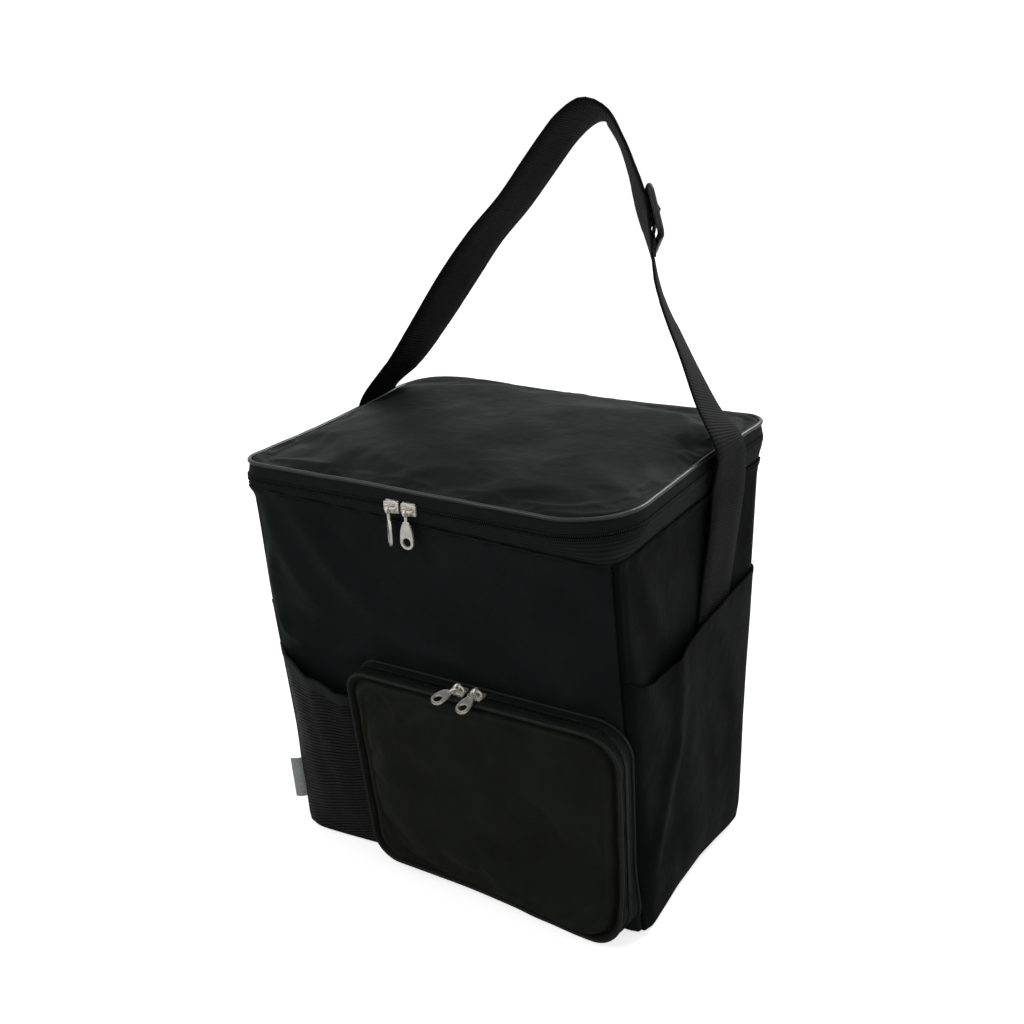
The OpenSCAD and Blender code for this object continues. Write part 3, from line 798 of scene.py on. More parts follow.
def ribbedPaint(name, colour, rough, pitch, depth, alongAxis, grooveShade=0.55):
    # ribs that repeat along one axis of the piece's own map; their grooves are painted darker as shade and their
    # crests lighter as light, in step with the bump
    paint = Paint(name, colour, rough, specular=0.05)
    uv = paint.parts(paint.where("UV"))
    waves = paint.ribs(uv[alongAxis], pitch)
    fine = paint.ribs(uv[1 - alongAxis], 0.0011)
    # painted shade in the grooves, painted light on the crests
    paint.put("Base Color", paint.blendColour(waves, shade(colour, grooveShade), shade(colour, 1.25)))
    paint.bump(waves * depth + fine * (depth * 0.25) + paint.cloud(60) * 0.0006, 1.0, 0.9)
    return paint.material


def meshPaint(name, colour, pitch):
    # an open net: slanting rows of thread with small holes between them
    paint = Paint(name, colour, 0.5, specular=0.1)
    across, along = paint.parts(paint.where("UV"))[:2]
    rows = paint.ribs(along - across * 0.36, pitch)
    cells = paint.ribs(across + along * 0.2, pitch * 0.55)
    hole = (1 - rows).does("MULTIPLY", 1 - cells).spread(0.35, 0.65)
    paint.put("Base Color", paint.blendColour(rows.spread(0.25, 0.75), shade(colour, 0.15), colour))
    paint.put("Alpha", 1 - hole)
    paint.bump(rows * 0.0005, 1.0)
    return paint.material


def liningPaint():
    paint = Paint("silverLining", (0.62, 0.63, 0.64), 0.34, 0.55)
    crumple = paint.node("ShaderNodeTexVoronoi", named={"Vector": paint.where(), "Scale": 48.0})
    soft = paint.cloud(30, 4)
    paint.put("Roughness", soft.spread(0.25, 0.8, (0.42, 0.26)))
    paint.bump(crumple * 0.0005 + soft * 0.0022, 1.0, 0.8)
    return paint.material


paints = {
    "outer": fabricPaint("outerFabric", (0.0072, 0.0100, 0.0094), 0.60, 0.0014),
    # the sides take a darker copy of the outer fabric's colour: painted shade for the walls that turn away from the
    # light
    "side": fabricPaint("shadedSideFabric", (0.0034, 0.0046, 0.0038), 0.62, 0.0013, specular=0.03),
    # the lid's top takes a lighter copy of the outer fabric's colour: painted light where the top faces the light from
    # above
    "litLidTop": fabricPaint("litLidFabric", (0.0104, 0.0126, 0.0118), 0.55, 0.0013),
    "pocket": fabricPaint("pocketFabric", (0.0106, 0.0122, 0.0096), 0.58, 0.0012),
    "tape": ribbedPaint("zipTape", (0.0126, 0.0152, 0.0136), 0.62, 0.0017, 0.0002, 1),
    "piping": plainPaint("piping", (0.0065, 0.0072, 0.0070), 0.42, grain=0.0008, scale=120,
                         specular=0.25, coat=0.35),
    "edging": plainPaint("pocketEdging", (0.0105, 0.0120, 0.0105), 0.6, grain=0.0008, scale=120,
                         specular=0.15),
    "coil": plainPaint("zipCoil", (0.0080, 0.0085, 0.0085), 0.42, specular=0.15),
    "webbing": ribbedPaint("webbing", (0.0046, 0.0052, 0.0048), 0.6, 0.0023, 0.0003, 1, grooveShade=0.8),
    "hem": ribbedPaint("elasticHem", (0.0230, 0.0250, 0.0235), 0.6, 0.0012, 0.0002, 0, grooveShade=0.8),
    "net": meshPaint("pocketNet", (0.0165, 0.0185, 0.0170), 0.0030),
    "lining": liningPaint(),
    "nickel": plainPaint("warmNickel", (0.74, 0.71, 0.65), 0.24, 0.6, grain=0.0003, scale=260),
    "buckle": plainPaint("bucklePlastic", (0.0090, 0.0090, 0.0090), 0.4, grain=0.0004, scale=500,
                         specular=0.3),
    "tag": plainPaint("tagFabric", (0.42, 0.43, 0.43), 0.75, grain=0.0006, scale=400, specular=0.1),
    "thread": plainPaint("thread", (0.010, 0.011, 0.010), 0.7, specular=0.05),
    "foam": plainPaint("foam", (0.72, 0.72, 0.68), 0.85, grain=0.002, scale=600),
    "board": plainPaint("board", (0.05, 0.045, 0.04), 0.6, grain=0.001, scale=200),
}
print("materials made:", len(paints))


def finished(piece, paint, body, slot, stands=(), span=None):
    piece.data.materials.clear()
    piece.data.materials.append(paints[paint])
    if span:
        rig.blend(piece, body[0], body[1], start=span[0], end=span[1])
    else:
        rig.ride(piece, body)
    if stands:
        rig.replaces(piece, *stands)
    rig.slot(piece, slot)
    return piece


# the four walls, cut as panels that meet in turned-in seams

wallTops = {
    0: [(0.0, 0.3085), (0.45, 0.3035), (1.0, 0.2985)],
    1: [(0.0, 0.2985), (1.0, 0.2975)],
    2: [(0.0, 0.2975), (1.0, 0.2975)],
    3: [(0.0, 0.2975), (1.0, 0.3085)],
}


def wallTop(k):
    side = int(math.floor(k)) % 4
    return lineTable(wallTops[side], k - math.floor(k))


def seamDip(t, length):
    # a panel's edge turns in at its seam, with a low ridge beside it
    away = min(t, 1 - t) * length
    return -0.0012 * math.exp(-(away / 0.0010) ** 2) + 0.0007 * math.exp(-((away - 0.0035) / 0.002) ** 2)


def finerEnds(u, amount=0.85):
    # shares that crowd towards both ends
    return u - amount * math.sin(2 * math.pi * u) / (2 * math.pi)


# the side panels take the sides' darker fabric, which holds painted shade
wallPieces = (  # name, its node, width, faces across, fabric
    ("frontPanel", "front_panel", 0.295, 170, "outer"),
    ("rightPanel", "right_side_panel", 0.205, 130, "side"),
    ("backPanel", "back_panel", 0.295, 170, "outer"),
    ("leftPanel", "left_side_panel", 0.205, 130, "side"),
)
wallHem = {"puckers": 0.0006, "pitch": 0.0042, "deep": 0.006, "edge": 0.0007}


def wallPlace(side, width, u, v):
    t = min(max(finerEnds(u), 0.0), 0.99999)
    top = wallTop(side + t)
    z = top * (v if v > 0.06 else v * v / 0.06 * 0.5 + v * 0.5)
    puckers = wallHem["puckers"] * math.sin(t * width / wallHem["pitch"] + 1.5 * math.sin(t * 17))
    puckers *= math.exp(-((top - z) / wallHem["deep"]) ** 2)
    edge = wallHem["edge"] * ease((z - top) / wallHem["deep"] + 1)
    return shell(side + t, z, seamDip(t, width) + puckers + edge)


for side, (name, node, width, across, fabric) in enumerate(wallPieces):
    wall = cloth(name, across, 130, lambda u, v: wallPlace(side, width, u, v), (width, 0.31))
    layer(wall, across, outAt(side + 0.5, 0.15), 0.0012)
    finished(wall, fabric, "carrier", "outer_fabric", stands=(node,))
print("walls made")


def squareWay(u, v, rim=0.5):
    # a square grid seen as rings: (corner parameter k, nearness to the rim), with finer rows at the rim
    a, b = (mix(2 * w - 1, math.sin(math.pi * (w - 0.5)), rim) for w in (u, v))
    near = max(abs(a), abs(b))
    if near < 1e-9:
        return 0.0, 0.0
    along, side = ((a, 0) if b == -near else (b, 1) if a == near else (-a, 2) if b == near else (-b, 3))
    return side + (along / near + 1) / 2, near


def bottomPlace(u, v):
    edge = shell(4 * u, 0.0)
    return Vector((edge.x * (1 - v), edge.y * (1 - v), 0.0004 * v))


bottom = cloth("bottomPanel", 160, 26, bottomPlace, (1.0, 0.12), loop=True)
thicken(bottom, -0.0012)
faceOut(bottom)
smoothShade(bottom)
finished(bottom, "outer", "carrier", "outer_fabric", stands=("bottom_panel",))

# the lid zip: two tapes, two rows of teeth and the back fold

zipSpan = (-1.10, 1.99)
toothSpan = (-1.08, 1.97)  # the tapes are folded over past the last teeth


def makeStrip(name, span, low, high, lifts, across=420, along=10, thick=0.0006):
    # a strip round the bag: low gives its lower edge at k, lifts how far it stands off from low to high
    def place(u, v):
        k = mix(span[0], span[1], u)
        return shell(k, mix(low(k), high, v), lineTable(lifts, v))

    strip = cloth(name, across, along, place, ((span[1] - span[0]) * 0.25, 0.014))
    layer(strip, across, outAt((span[0] + span[1]) / 2, 0.31), thick)
    return strip


lowerTape = makeStrip("lowerZipTape", zipSpan, lambda k: wallTop(k) - 0.003, 0.3128,
                      [(0, -0.0016), (0.2, -0.0012), (0.3, -0.0002), (0.9, 0.0002), (1.0, 0.0002)])
finished(lowerTape, "tape", "carrier", "zip_tape", stands=("lower_zip_tape",))
upperTape = makeStrip("upperZipTape", zipSpan, lambda k: 0.3152, 0.3245,
                      [(0, 0.0002), (0.5, 0.0000), (1.0, -0.0004)])
finished(upperTape, "tape", "lid", "zip_tape", stands=("upper_zip_tape",))

backFold = makeStrip("backFold", (1.98, 2.91), lambda k: 0.2950, 0.3245,
                     [(0, -0.0014), (0.12, -0.0010), (0.3, 0.0006), (0.7, 0.0010), (1.0, -0.0004)],
                     160, 24, 0.0010)
finished(backFold, "outer", ("carrier", "lid"), "outer_fabric", stands=("hinge_web", "lid_back_band"),
         span=((0, 0.117, 0.306), (0, 0.117, 0.322)))


def makeTooth(name, size):
    # a coil loop: a rounded block with a slimmer head
    deselect()
    bpy.ops.mesh.primitive_cube_add(size=1, location=(0, 0, 0))
    tooth = bpy.context.object
    tooth.name = name
    editAll(tooth, lambda: bpy.ops.transform.resize(value=size),
            lambda: bpy.ops.mesh.bevel(offset=min(size) * 0.28, segments=1, affect="EDGES"))
    return tooth


tooth = makeTooth("tooth", (0.00085, 0.0020, 0.0011))


def toothRow(name, path, outs, body, node, pitch=0.00145):
    places = [standOn(point, along, outs[i]) for point, along, i in evenly(path, pitch)]
    finished(copies(name, tooth, places), "coil", body, "zip_chain", stands=(node,))


toothKs = [mix(toothSpan[0], toothSpan[1], i / 900) for i in range(901)]
for name, z, body, node in (("lowerTeeth", 0.3129, "carrier", "lower_zip_chain"),
                            ("upperTeeth", 0.3151, "lid", "upper_zip_chain")):
    toothRow(name, [shell(k, z, 0.0006) for k in toothKs], [outAt(k, z) for k in toothKs], body, node)
print("lid zip made")

# lid: cover with a soft crown, piping, lining

lid = {
    "edge": 0.3250,
    "reach": 0.12,  # from the rim to the middle, as the rows measure it
    "rows": [(0.0, 0.0), (0.0015, 0.0018), (0.010, 0.0048), (0.032, 0.0078), (0.060, 0.0092), (0.12, 0.0100)],
    "foamLow": 0.3206,
}


def lidEdge(k, inset):
    return shell(k, bag["piping"], -inset)


lidFolds = (
    ((-0.120, -0.085), (-0.050, 0.020), 0.014, 0.0012),
    ((-0.060, -0.100), (0.030, -0.060), 0.012, -0.0009),
    ((0.120, -0.070), (0.060, -0.020), 0.016, 0.0012),
    ((0.110, 0.090), (0.030, 0.050), 0.014, 0.0014),
    ((-0.100, 0.085), (-0.020, 0.070), 0.016, 0.0010),
    ((0.020, -0.040), (0.090, 0.030), 0.020, -0.0010),
)


def foldRise(folds, x, y):
    total = 0.0
    for a, b, width, amount in folds:
        away = math.hypot(*fromLine(x, y, a, b)[1:]) / width
        total += amount * math.exp(-away * away)
    return total


def lidPlace(u, v):
    k, near = squareWay(u, v)
    edge = lidEdge(k, 0.0012)
    x, y = edge.x * near, edge.y * near
    away = (1 - near) * lid["reach"]
    rise = lineTable(lid["rows"], away)
    soft = (foldRise(lidFolds, x, y) + 0.0012 * noise.noise(Vector((x * 14, y * 14, 4)))) * ease(away / 0.02)
    return Vector((x, y, lid["edge"] - rimSag(k) * near ** 6 + rise + soft))


lidGrid = (96, 84)
lidCover = cloth("lidCover", *lidGrid, lidPlace, (0.30, 0.24))
faceTowards(lidCover, lidGrid[0], Vector((0, 0, 1)))


def inflate(piece, pinned, pressure, cap):
    # cloth blown up a little from inside, its rim held; moves are kept under the cap
    if quick:
        return
    before = [v.co.copy() for v in piece.data.vertices]
    group = piece.vertex_groups.new(name="held")
    group.add(pinned, 1.0, "REPLACE")
    modifier = piece.modifiers.new("cloth", "CLOTH")
    held = modifier.settings
    held.quality = 5
    held.mass = 0.15
    held.vertex_group_mass = "held"
    held.tension_stiffness = held.compression_stiffness = 12
    held.bending_stiffness = 0.35
    held.shrink_min = -0.018
    held.use_pressure = True
    held.uniform_pressure_force = pressure
    held.effector_weights.gravity = 0
    modifier.collision_settings.use_collision = False
    modifier.point_cache.frame_start, modifier.point_cache.frame_end = 1, 20
    for now in range(1, 21):
        bpy.context.scene.frame_set(now)
    pick(piece)
    bpy.ops.object.modifier_apply(modifier="cloth")
    for vert, old in zip(piece.data.vertices, before):
        move = vert.co - old
        if move.length > cap:
            vert.co = old + move.normalized() * cap
    piece.vertex_groups.clear()
    bpy.context.scene.frame_set(1)


def rimOf(across, along, rows):
    # indices of a grid's outer rows
    wide = across + 1
    return [j * wide + i for j in range(along + 1) for i in range(wide)
            if min(i, j, across - i, along - j) < rows]


inflate(lidCover, rimOf(*lidGrid, 2), 0.35, 0.0028)
applyModifier(lidCover, "SUBSURF", levels=1, render_levels=1)
thicken(lidCover, 0.0012)
smoothShade(lidCover)
# the cover takes the lid top's lighter colour, painted light
finished(lidCover, "litLidTop", "lid", "outer_fabric", stands=("lid_cover",))
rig.padded(lidCover, fill=0.7)
print("lid cover made")


def lidFoamPlace(u, v):
    # one closed skin: the flat underside, then the crowned top
    near = min(1.0, v / 0.45) if v < 0.5 else min(1.0, (1 - v) / 0.45)
    edge = lidEdge(4 * u, 0.0045)
    top = lid["edge"] - rimSag(4 * u) * near ** 6 + lineTable(lid["rows"], (1 - near) * lid["reach"]) - 0.0036
    z = lid["foamLow"] if v < 0.5 else max(top, lid["foamLow"] + 0.0006)
    return Vector((edge.x * near, edge.y * near, z))


lidFoam = cloth("lidFoam", 160, 40, lidFoamPlace, (1.0, 0.30), loop=True)
faceOut(lidFoam)
smoothShade(lidFoam)
finished(lidFoam, "foam", "lid", "foam", stands=("lid_foam",))

pipingKs = [4 * i / 640 for i in range(640)]
pipingWaves = [0.0003 * noise.noise(Vector((i * 0.11, bag["piping"], 0))) for i in range(640)]
pipingPath = [shell(k, bag["piping"] - rimSag(k) + wave, -0.0006) for k, wave in zip(pipingKs, pipingWaves)]
pipingOuts = [outAt(k, bag["piping"] - 0.003) for k in pipingKs]
lidPiping = tube("lidPiping", pipingPath, pipingOuts, roundSection(bag["pipingRadius"], 12), closed=True)
finished(lidPiping, "piping", "lid", "piping", stands=("lid_piping",))

# share from the rim to the middle, inset, height
lidLiningRim = ((0.0, 0.0032, 0.3238), (0.10, 0.0042, 0.3206), (0.16, 0.0070, 0.3198))


def rimAt(rows, v):
    # the inset and the height that a lining's rows give
    return [lineTable([(row[0], row[n]) for row in rows], v) for n in (1, 2)]


def lidLiningPlace(u, v):
    # tucked under the piping, then flat across the lid
    last, inset, level = lidLiningRim[-1]
    if v <= last:
        inset, z = rimAt(lidLiningRim, v)
        return Vector((*lidEdge(4 * u, inset)[:2], z))
    near = (1 - v) / (1 - last)
    edge = lidEdge(4 * u, inset)
    x, y = edge.x * near, edge.y * near
    sag = 0.0008 * (1 - near ** 4) * (0.4 + noise.noise(Vector((x * 22, y * 22, 8))))
    return Vector((x, y, level - sag - 0.00048 * noise.noise(Vector((x * 60, y * 60, 3)))))


lidLining = cloth("lidLining", 200, 50, lidLiningPlace, (1.0, 0.15), loop=True)
faceOut(lidLining)
smoothShade(lidLining)
finished(lidLining, "lining", "lid", "lining", stands=("lid_liner",))

tubRim = ((0.0, 0.0014, 0.2962), (0.06, 0.0075, 0.2964), (0.09, 0.0086, 0.2940), (0.66, 0.0088, 0.0150),
          (0.70, 0.0120, 0.0112))


def tubPlace(u, v):
    # folded over the top of the foam, down the walls and in to the middle of the floor
    last, inset, level = tubRim[-1]
    if v <= last:
        inset, z = rimAt(tubRim, v)
        share = min(z / bag["zipLow"], 1.0)
        half = [mix(bag["base"][n], bag["top"][n], share) for n in (0, 1)]
        point, normal, side, t = outline(4 * u, *half, [max(r, 0.018) for r in bag["bodyRadii"]])
        crumple = 0.0009 * noise.noise(Vector((point.x * 26, point.y * 26, z * 26))) if 0.09 < v < 0.68 else 0
        point = point - normal * (inset + abs(crumple))
        point.z = z
        return point
    near = (1 - v) / (1 - last)
    edge = tubPlace(u, last)
    x, y = edge.x * near, edge.y * near
    return Vector((x, y, level + 0.0008 * (1 - near ** 3) * (0.5 + noise.noise(Vector((x * 25, y * 25, 2))))))


tub = cloth("innerLining", 240, 110, tubPlace, (1.0, 0.45), loop=True)
faceOut(tub)
smoothShade(tub, 35)
finished(tub, "lining", "carrier", "lining", stands=("liner",))
print("lid and lining made")

# the front pocket: a box with its own zip, on the sloping front wall

tilt = math.atan2(bag["top"][1] - bag["base"][1], bag["zipLow"])
pocket = {
    "corners": ((-0.069, 0.181, 0.016), (0.1520, 0.181, 0.025), (0.1455, 0.0048, 0.024),
                (-0.0665, 0.0110, 0.021)),
    "flare": 0.45,  # how much deeper the pocket is at its lower right corner
    "splay": 0.0055,  # how far its rear seam runs out to the right there
    "deep": 0.020,
    "sill": 0.020,
    "piping": 0.0015,
    "edging": 0.0011,
    "zipRear": (0.0070, 0.0096),  # depths of the zip's two edges
    "zipFront": (0.0114, 0.0136),
    "middle": (0.038, 0.092),
    "reach": 0.09,  # from the piping to the middle, as the face's creases measure it
    "crown": 0.0042,
    "face": 0.0182,
}


def onFront(x, s, d):
    # x along the front, s up its slope and d out from it
    lowRight = ease((0.07 - s) / 0.07) * ease(x / 0.14)
    d *= 1 + pocket["flare"] * lowRight
    x += pocket["splay"] * (1 - d / 0.025) * lowRight
    return Vector((x, -bag["base"][1] - d * math.cos(tilt) - s * math.sin(tilt),
                   -d * math.sin(tilt) + s * math.cos(tilt)))


frontOut = (onFront(0, 0, 1) - onFront(0, 0, 0)).normalized()
frontUp = (onFront(0, 1, 0) - onFront(0, 0, 0)).normalized()


def pocketOutline(count):
    # points (x, s) round the pocket, from the middle of the bottom edge, going left, up, right and back
    corners = [Vector(c[:2]) for c in pocket["corners"]]
    start = (corners[3] + corners[2]) / 2
    dense = [start]
    for n in (3, 0, 1, 2):
        here = corners[n]
        a = (corners[n - 1] - here).normalized()
        b = (corners[(n + 1) % 4] - here).normalized()
        half = a.angle(b) / 2
        r = pocket["corners"][n][2]
        back = r / math.tan(half)
        centre = here + (a + b).normalized() * (r / math.sin(half))
        first = here + a * back - centre
        last = here + b * back - centre
        turn = math.atan2(first.x * last.y - first.y * last.x, first.dot(last))
        for i in range(13):
            angle = turn * i / 12
            dense.append(centre + Vector((first.x * math.cos(angle) - first.y * math.sin(angle),
                                          first.x * math.sin(angle) + first.y * math.cos(angle))))
    dense.append(start)
    lengths = np.cumsum([0] + [(b - a).length for a, b in zip(dense, dense[1:])])
    found = []
    for i in range(count):
        reached = lengths[-1] * i / count
        j = max(min(int(np.searchsorted(lengths, reached)), len(dense) - 1), 1)
        share = (reached - lengths[j - 1]) / max(lengths[j] - lengths[j - 1], 1e-9)
        found.append(dense[j - 1].lerp(dense[j], share))
    return found, float(lengths[-1])


pocketRing, pocketRound = pocketOutline(480)
ringCount = len(pocketRing)


def ringPoint(q, inset=0.0):
    # q from 0 to 1 round the pocket; inset goes towards its inside
    f = (q % 1.0) * ringCount
    i = int(f)
    a, b = pocketRing[i % ringCount], pocketRing[(i + 1) % ringCount]
    here = a.lerp(b, f - i)
    along = (pocketRing[(i + 2) % ringCount] - pocketRing[(i - 1) % ringCount]).normalized()
    inward = Vector((along.y, -along.x))
    return here + inward * inset, along, inward


def onRing(q, d, inset=0.0):
    here, along, inward = ringPoint(q, inset)
    return onFront(here.x, here.y, d)


def ringOut(q):
    here, along, inward = ringPoint(q)
    return (onFront(-inward.x, -inward.y, 0) - onFront(0, 0, 0)).normalized()


def sillQ():
    # shares round the ring where the zip starts and ends
    rising = [i / ringCount for i in range(ringCount) if pocketRing[i].y > pocket["sill"]]
    return rising[0], rising[-1]


zipQ = sillQ()


def ringStrip(name, span, deep, lifts, along, closed=False):
    # a strip round the pocket, over a span of shares and of depths; lifts is how far it bellies out
    def place(u, v):
        q = mix(span[0], span[1], u)
        angle = 2 * math.pi * q
        wave = 0.0005 * noise.noise(Vector((math.cos(angle) * 9, math.sin(angle) * 9, v * 2 + deep[0] * 90)))
        return onRing(q, mix(deep[0], deep[1], v), -lineTable(lifts, v) - wave)

    size = (pocketRound * (span[1] - span[0]), deep[1] - deep[0])
    strip = cloth(name, 480, along, place, size, loop=closed)
    layer(strip, 480, ringOut((span[0] + span[1]) / 2), 0.0008)
    return strip


gusset = ringStrip("pocketGusset", (0.0, 1.0), (-0.0020, 0.0077),
                   [(0, 0), (0.25, 0.0006), (0.6, 0.0004), (1, -0.0002)], 12, closed=True)
finished(gusset, "outer", "carrier", "outer_fabric", stands=("pocket_gusset",))
flapTape = ringStrip("pocketZipTape", zipQ, (0.0133, 0.0176), [(0, -0.0001), (0.5, 0.0003), (1, -0.0008)], 6)
finished(flapTape, "tape", "pocket_flap", "zip_tape", stands=("pocket_zip_tape",))
rearTape = ringStrip("pocketRearTape", zipQ, pocket["zipRear"], [(0, 0.0005), (1, 0.0001)], 4)
finished(rearTape, "tape", "carrier", "zip_tape")
frontTape = ringStrip("pocketFrontTape", zipQ, pocket["zipFront"], [(0, 0.0001), (1, 0.0003)], 4)
finished(frontTape, "tape", "pocket_flap", "zip_tape")


def sillPlace(u, v):
    q = mix(zipQ[1] - 1.0, zipQ[0], u)
    return onRing(q, mix(0.0070, 0.0180, v), -0.0004 - 0.0006 * math.sin(math.pi * v))


sill = cloth("pocketSill", 260, 14, sillPlace, (0.25, 0.011))
layer(sill, 260, Vector((0, 0, -1)), 0.0008)
flapSpan = ((0, -0.1068, 0.014), (0, -0.1068, 0.030))
finished(sill, "outer", ("carrier", "pocket_flap"), "outer_fabric", stands=("pocket_sill_strip",),
         span=flapSpan)

pocketShares = [mix(zipQ[0], zipQ[1], i / 900) for i in range(901)]
pocketOuts = [ringOut(q) for q in pocketShares]
for name, deep, body, node in (("pocketRearTeeth", 0.00975, "carrier", "pocket_rear_chain"),
                               ("pocketFrontTeeth", 0.01130, "pocket_flap", "pocket_front_chain")):
    toothRow(name, [onRing(q, deep, -0.0006) for q in pocketShares], pocketOuts, body, node)

pocketFolds = (
    ((-0.050, 0.165), (0.010, 0.120), 0.012, 0.0016),
    ((-0.055, 0.110), (0.000, 0.085), 0.014, 0.0010),
    ((0.030, 0.172), (0.060, 0.110), 0.014, -0.0009),
    ((0.125, 0.160), (0.080, 0.115), 0.013, 0.0014),
    ((0.120, 0.030), (0.070, 0.070), 0.014, 0.0014),
    ((-0.050, 0.020), (0.000, 0.055), 0.014, 0.0012),
    ((0.100, 0.090), (0.040, 0.065), 0.018, -0.0010),
)


def cornerShares():
    # shares round the ring of the four corners, in the order of k:
    # bottom left, bottom right, top right, top left
    found = []
    for index in (3, 2, 1, 0):
        corner = Vector(pocket["corners"][index][:2])
        found.append(min(range(ringCount), key=lambda i: (pocketRing[i] - corner).length) / ringCount)
    return found


bottomLeft, bottomRight, topRight, topLeft = cornerShares()
# going with k the ring is passed backwards
cornerLine = [bottomLeft + 1.0, bottomRight, topRight, topLeft, bottomLeft]


def faceQ(k):
    side = int(math.floor(k)) % 4
    return mix(cornerLine[side], cornerLine[side + 1], k - math.floor(k))


def facePlace(u, v):
    # the pocket's padded face, creased along its piping
    k, near = squareWay(u, v, 0.85)
    here, along, inward = ringPoint(faceQ(k), 0.0012)
    x, s = (mix(pocket["middle"][n], here[n], near) for n in (0, 1))
    away = (1 - near) * pocket["reach"]
    lift = (pocket["crown"] * (1 - near ** 3.5)) * ease((away - 0.003) / 0.005) + 0.0004
    # a sharp crease along the piping, then a wandering ridge
    line = 0.0028 + 0.0008 * noise.noise(Vector((x * 55, s * 55, 9)))
    ridge = 0.0014 + 0.0016 * noise.noise(Vector((x * 40, s * 40, 3)))
    crease = ridge * math.exp(-((away - line - 0.0040) / 0.0026) ** 2)
    crease -= 0.0034 * math.exp(-((away - line) / 0.0011) ** 2)
    soft = foldRise(pocketFolds, x, s) + 0.0012 * noise.noise(Vector((x * 17, s * 17, 6)))
    soft *= ease((away - 0.007) / 0.015)
    low = 0.0020 * ease((0.05 - s) / 0.05) * ease((x + 0.04) / 0.15) * ease(away / 0.01)
    return onFront(x, s, pocket["face"] + lift + crease + soft + low)


faceGrid = (104, 92)
face = cloth("pocketFace", *faceGrid, facePlace, (0.21, 0.175))
faceTowards(face, faceGrid[0], frontOut)
inflate(face, rimOf(*faceGrid, 14), 0.6, 0.0040)
applyModifier(face, "SUBSURF", levels=1, render_levels=1)
thicken(face, 0.0014)
smoothShade(face)
finished(face, "pocket", ("carrier", "pocket_flap"), "outer_fabric", stands=("pocket_face",), span=flapSpan)
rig.padded(face, fill=0.5)

pipeShares = [-i / 620 for i in range(620)]
pipeOuts = [ringOut(q) for q in pipeShares]
pipePath = [onRing(q, 0.0185 + 0.0004 * noise.noise(Vector((i * 0.05, 3, 3))), 0.0002)
            for i, q in enumerate(pipeShares)]
pocketPiping = tube("pocketPiping", pipePath, pipeOuts, roundSection(pocket["piping"], 10), closed=True)
finished(pocketPiping, "edging", ("carrier", "pocket_flap"), "piping", stands=("pocket_piping",),
         span=flapSpan)

rearPath = [onRing(q, 0.0012, -0.0010) for q in pipeShares]
rearCord = tube("pocketRearCord", rearPath, pipeOuts, roundSection(pocket["edging"], 8), closed=True)
finished(rearCord, "edging", "carrier", "piping")
print("front pocket made")

# mesh pocket at the front left, slip pockets on the sides

meshPocket = {
    "gap": 0.0105,
    "left": -0.1490,
    "right": -0.0700,
    "low": 0.0065,
    "hem": [(-0.1465, 0.1730), (-0.133, 0.1685), (-0.108, 0.1580), (-0.084, 0.1475), (-0.069, 0.1420)],
    "flat": (0.083, 0.152),
}


def meshPlace(u, v, lift=0.0, tall=(0.0, 1.0)):
    x = mix(meshPocket["left"], meshPocket["right"], u)
    high = fromTable(meshPocket["hem"], x)
    z = mix(meshPocket["low"], high, mix(tall[0], tall[1], v))
    share = (z - meshPocket["low"]) / (high - meshPocket["low"])
    # it leaves the left seam gently and bellies towards the box pocket
    rise = mix(2.2, 0.6, ease(u / 0.6))
    belly = math.sin(math.pi * min(max(u, 0), 1)) ** rise * ease(share / 0.25 + 0.05)
    wave = 0.0008 * math.sin(u * 19 + share * 5) * math.sin(math.pi * u) * share
    rumple = 0.0008 * noise.noise(Vector((x * 60, z * 60, 5))) * math.sin(math.pi * u)
    gap = meshPocket["gap"] * (0.35 + 0.65 * share)
    k = mix(0.003, frontK(meshPocket["right"], z), u)
    return shell(k, z, 0.0004 + gap * belly + wave + rumple + lift)


net = cloth("meshPocket", 56, 120, meshPlace, meshPocket["flat"])
layer(net, 56, Vector((0, -1, 0)), 0.0004)
finished(net, "net", "carrier", "mesh", stands=("mesh_pocket",))
netHem = cloth("meshHem", 56, 10, lambda u, v: meshPlace(u, v, 0.0008, (0.940, 1.004)), (0.083, 0.010))
layer(netHem, 56, Vector((0, -1, 0)), 0.0018)
finished(netHem, "hem", "carrier", "elastic", stands=("mesh_hem",))
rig.sheet(net, flat=meshPocket["flat"], held="gathered", rests_on=("front_panel",), with_pieces=[netHem])

slipPocket = {
    "gap": 0.0058,
    "low": 0.0065,
    "flat": (0.196, 0.200),
    "hem": [(-0.114, 0.214), (-0.101, 0.2095), (-0.085, 0.2010), (-0.070, 0.1975), (-0.055, 0.1978),
            (-0.045, 0.1995), (-0.030, 0.2030), (-0.010, 0.2055), (0.010, 0.2068), (0.025, 0.208),
            (0.075, 0.212), (0.104, 0.2135)],
    # the ridge that the strap's sewn leg makes through the cloth: depth and height
    "ridge": [(-0.038, 0.205), (-0.034, 0.175), (-0.040, 0.135), (-0.060, 0.095), (-0.086, 0.060)],
    "ridgeRise": 0.0030,
    "ridgeWide": 0.010,
}


def ridgeRise(y, z):
    line = slipPocket["ridge"]
    nearest = min(math.hypot(*fromLine(y, z, a, b)[1:]) for a, b in zip(line, line[1:]))
    return slipPocket["ridgeRise"] * math.exp(-(nearest / slipPocket["ridgeWide"]) ** 2)


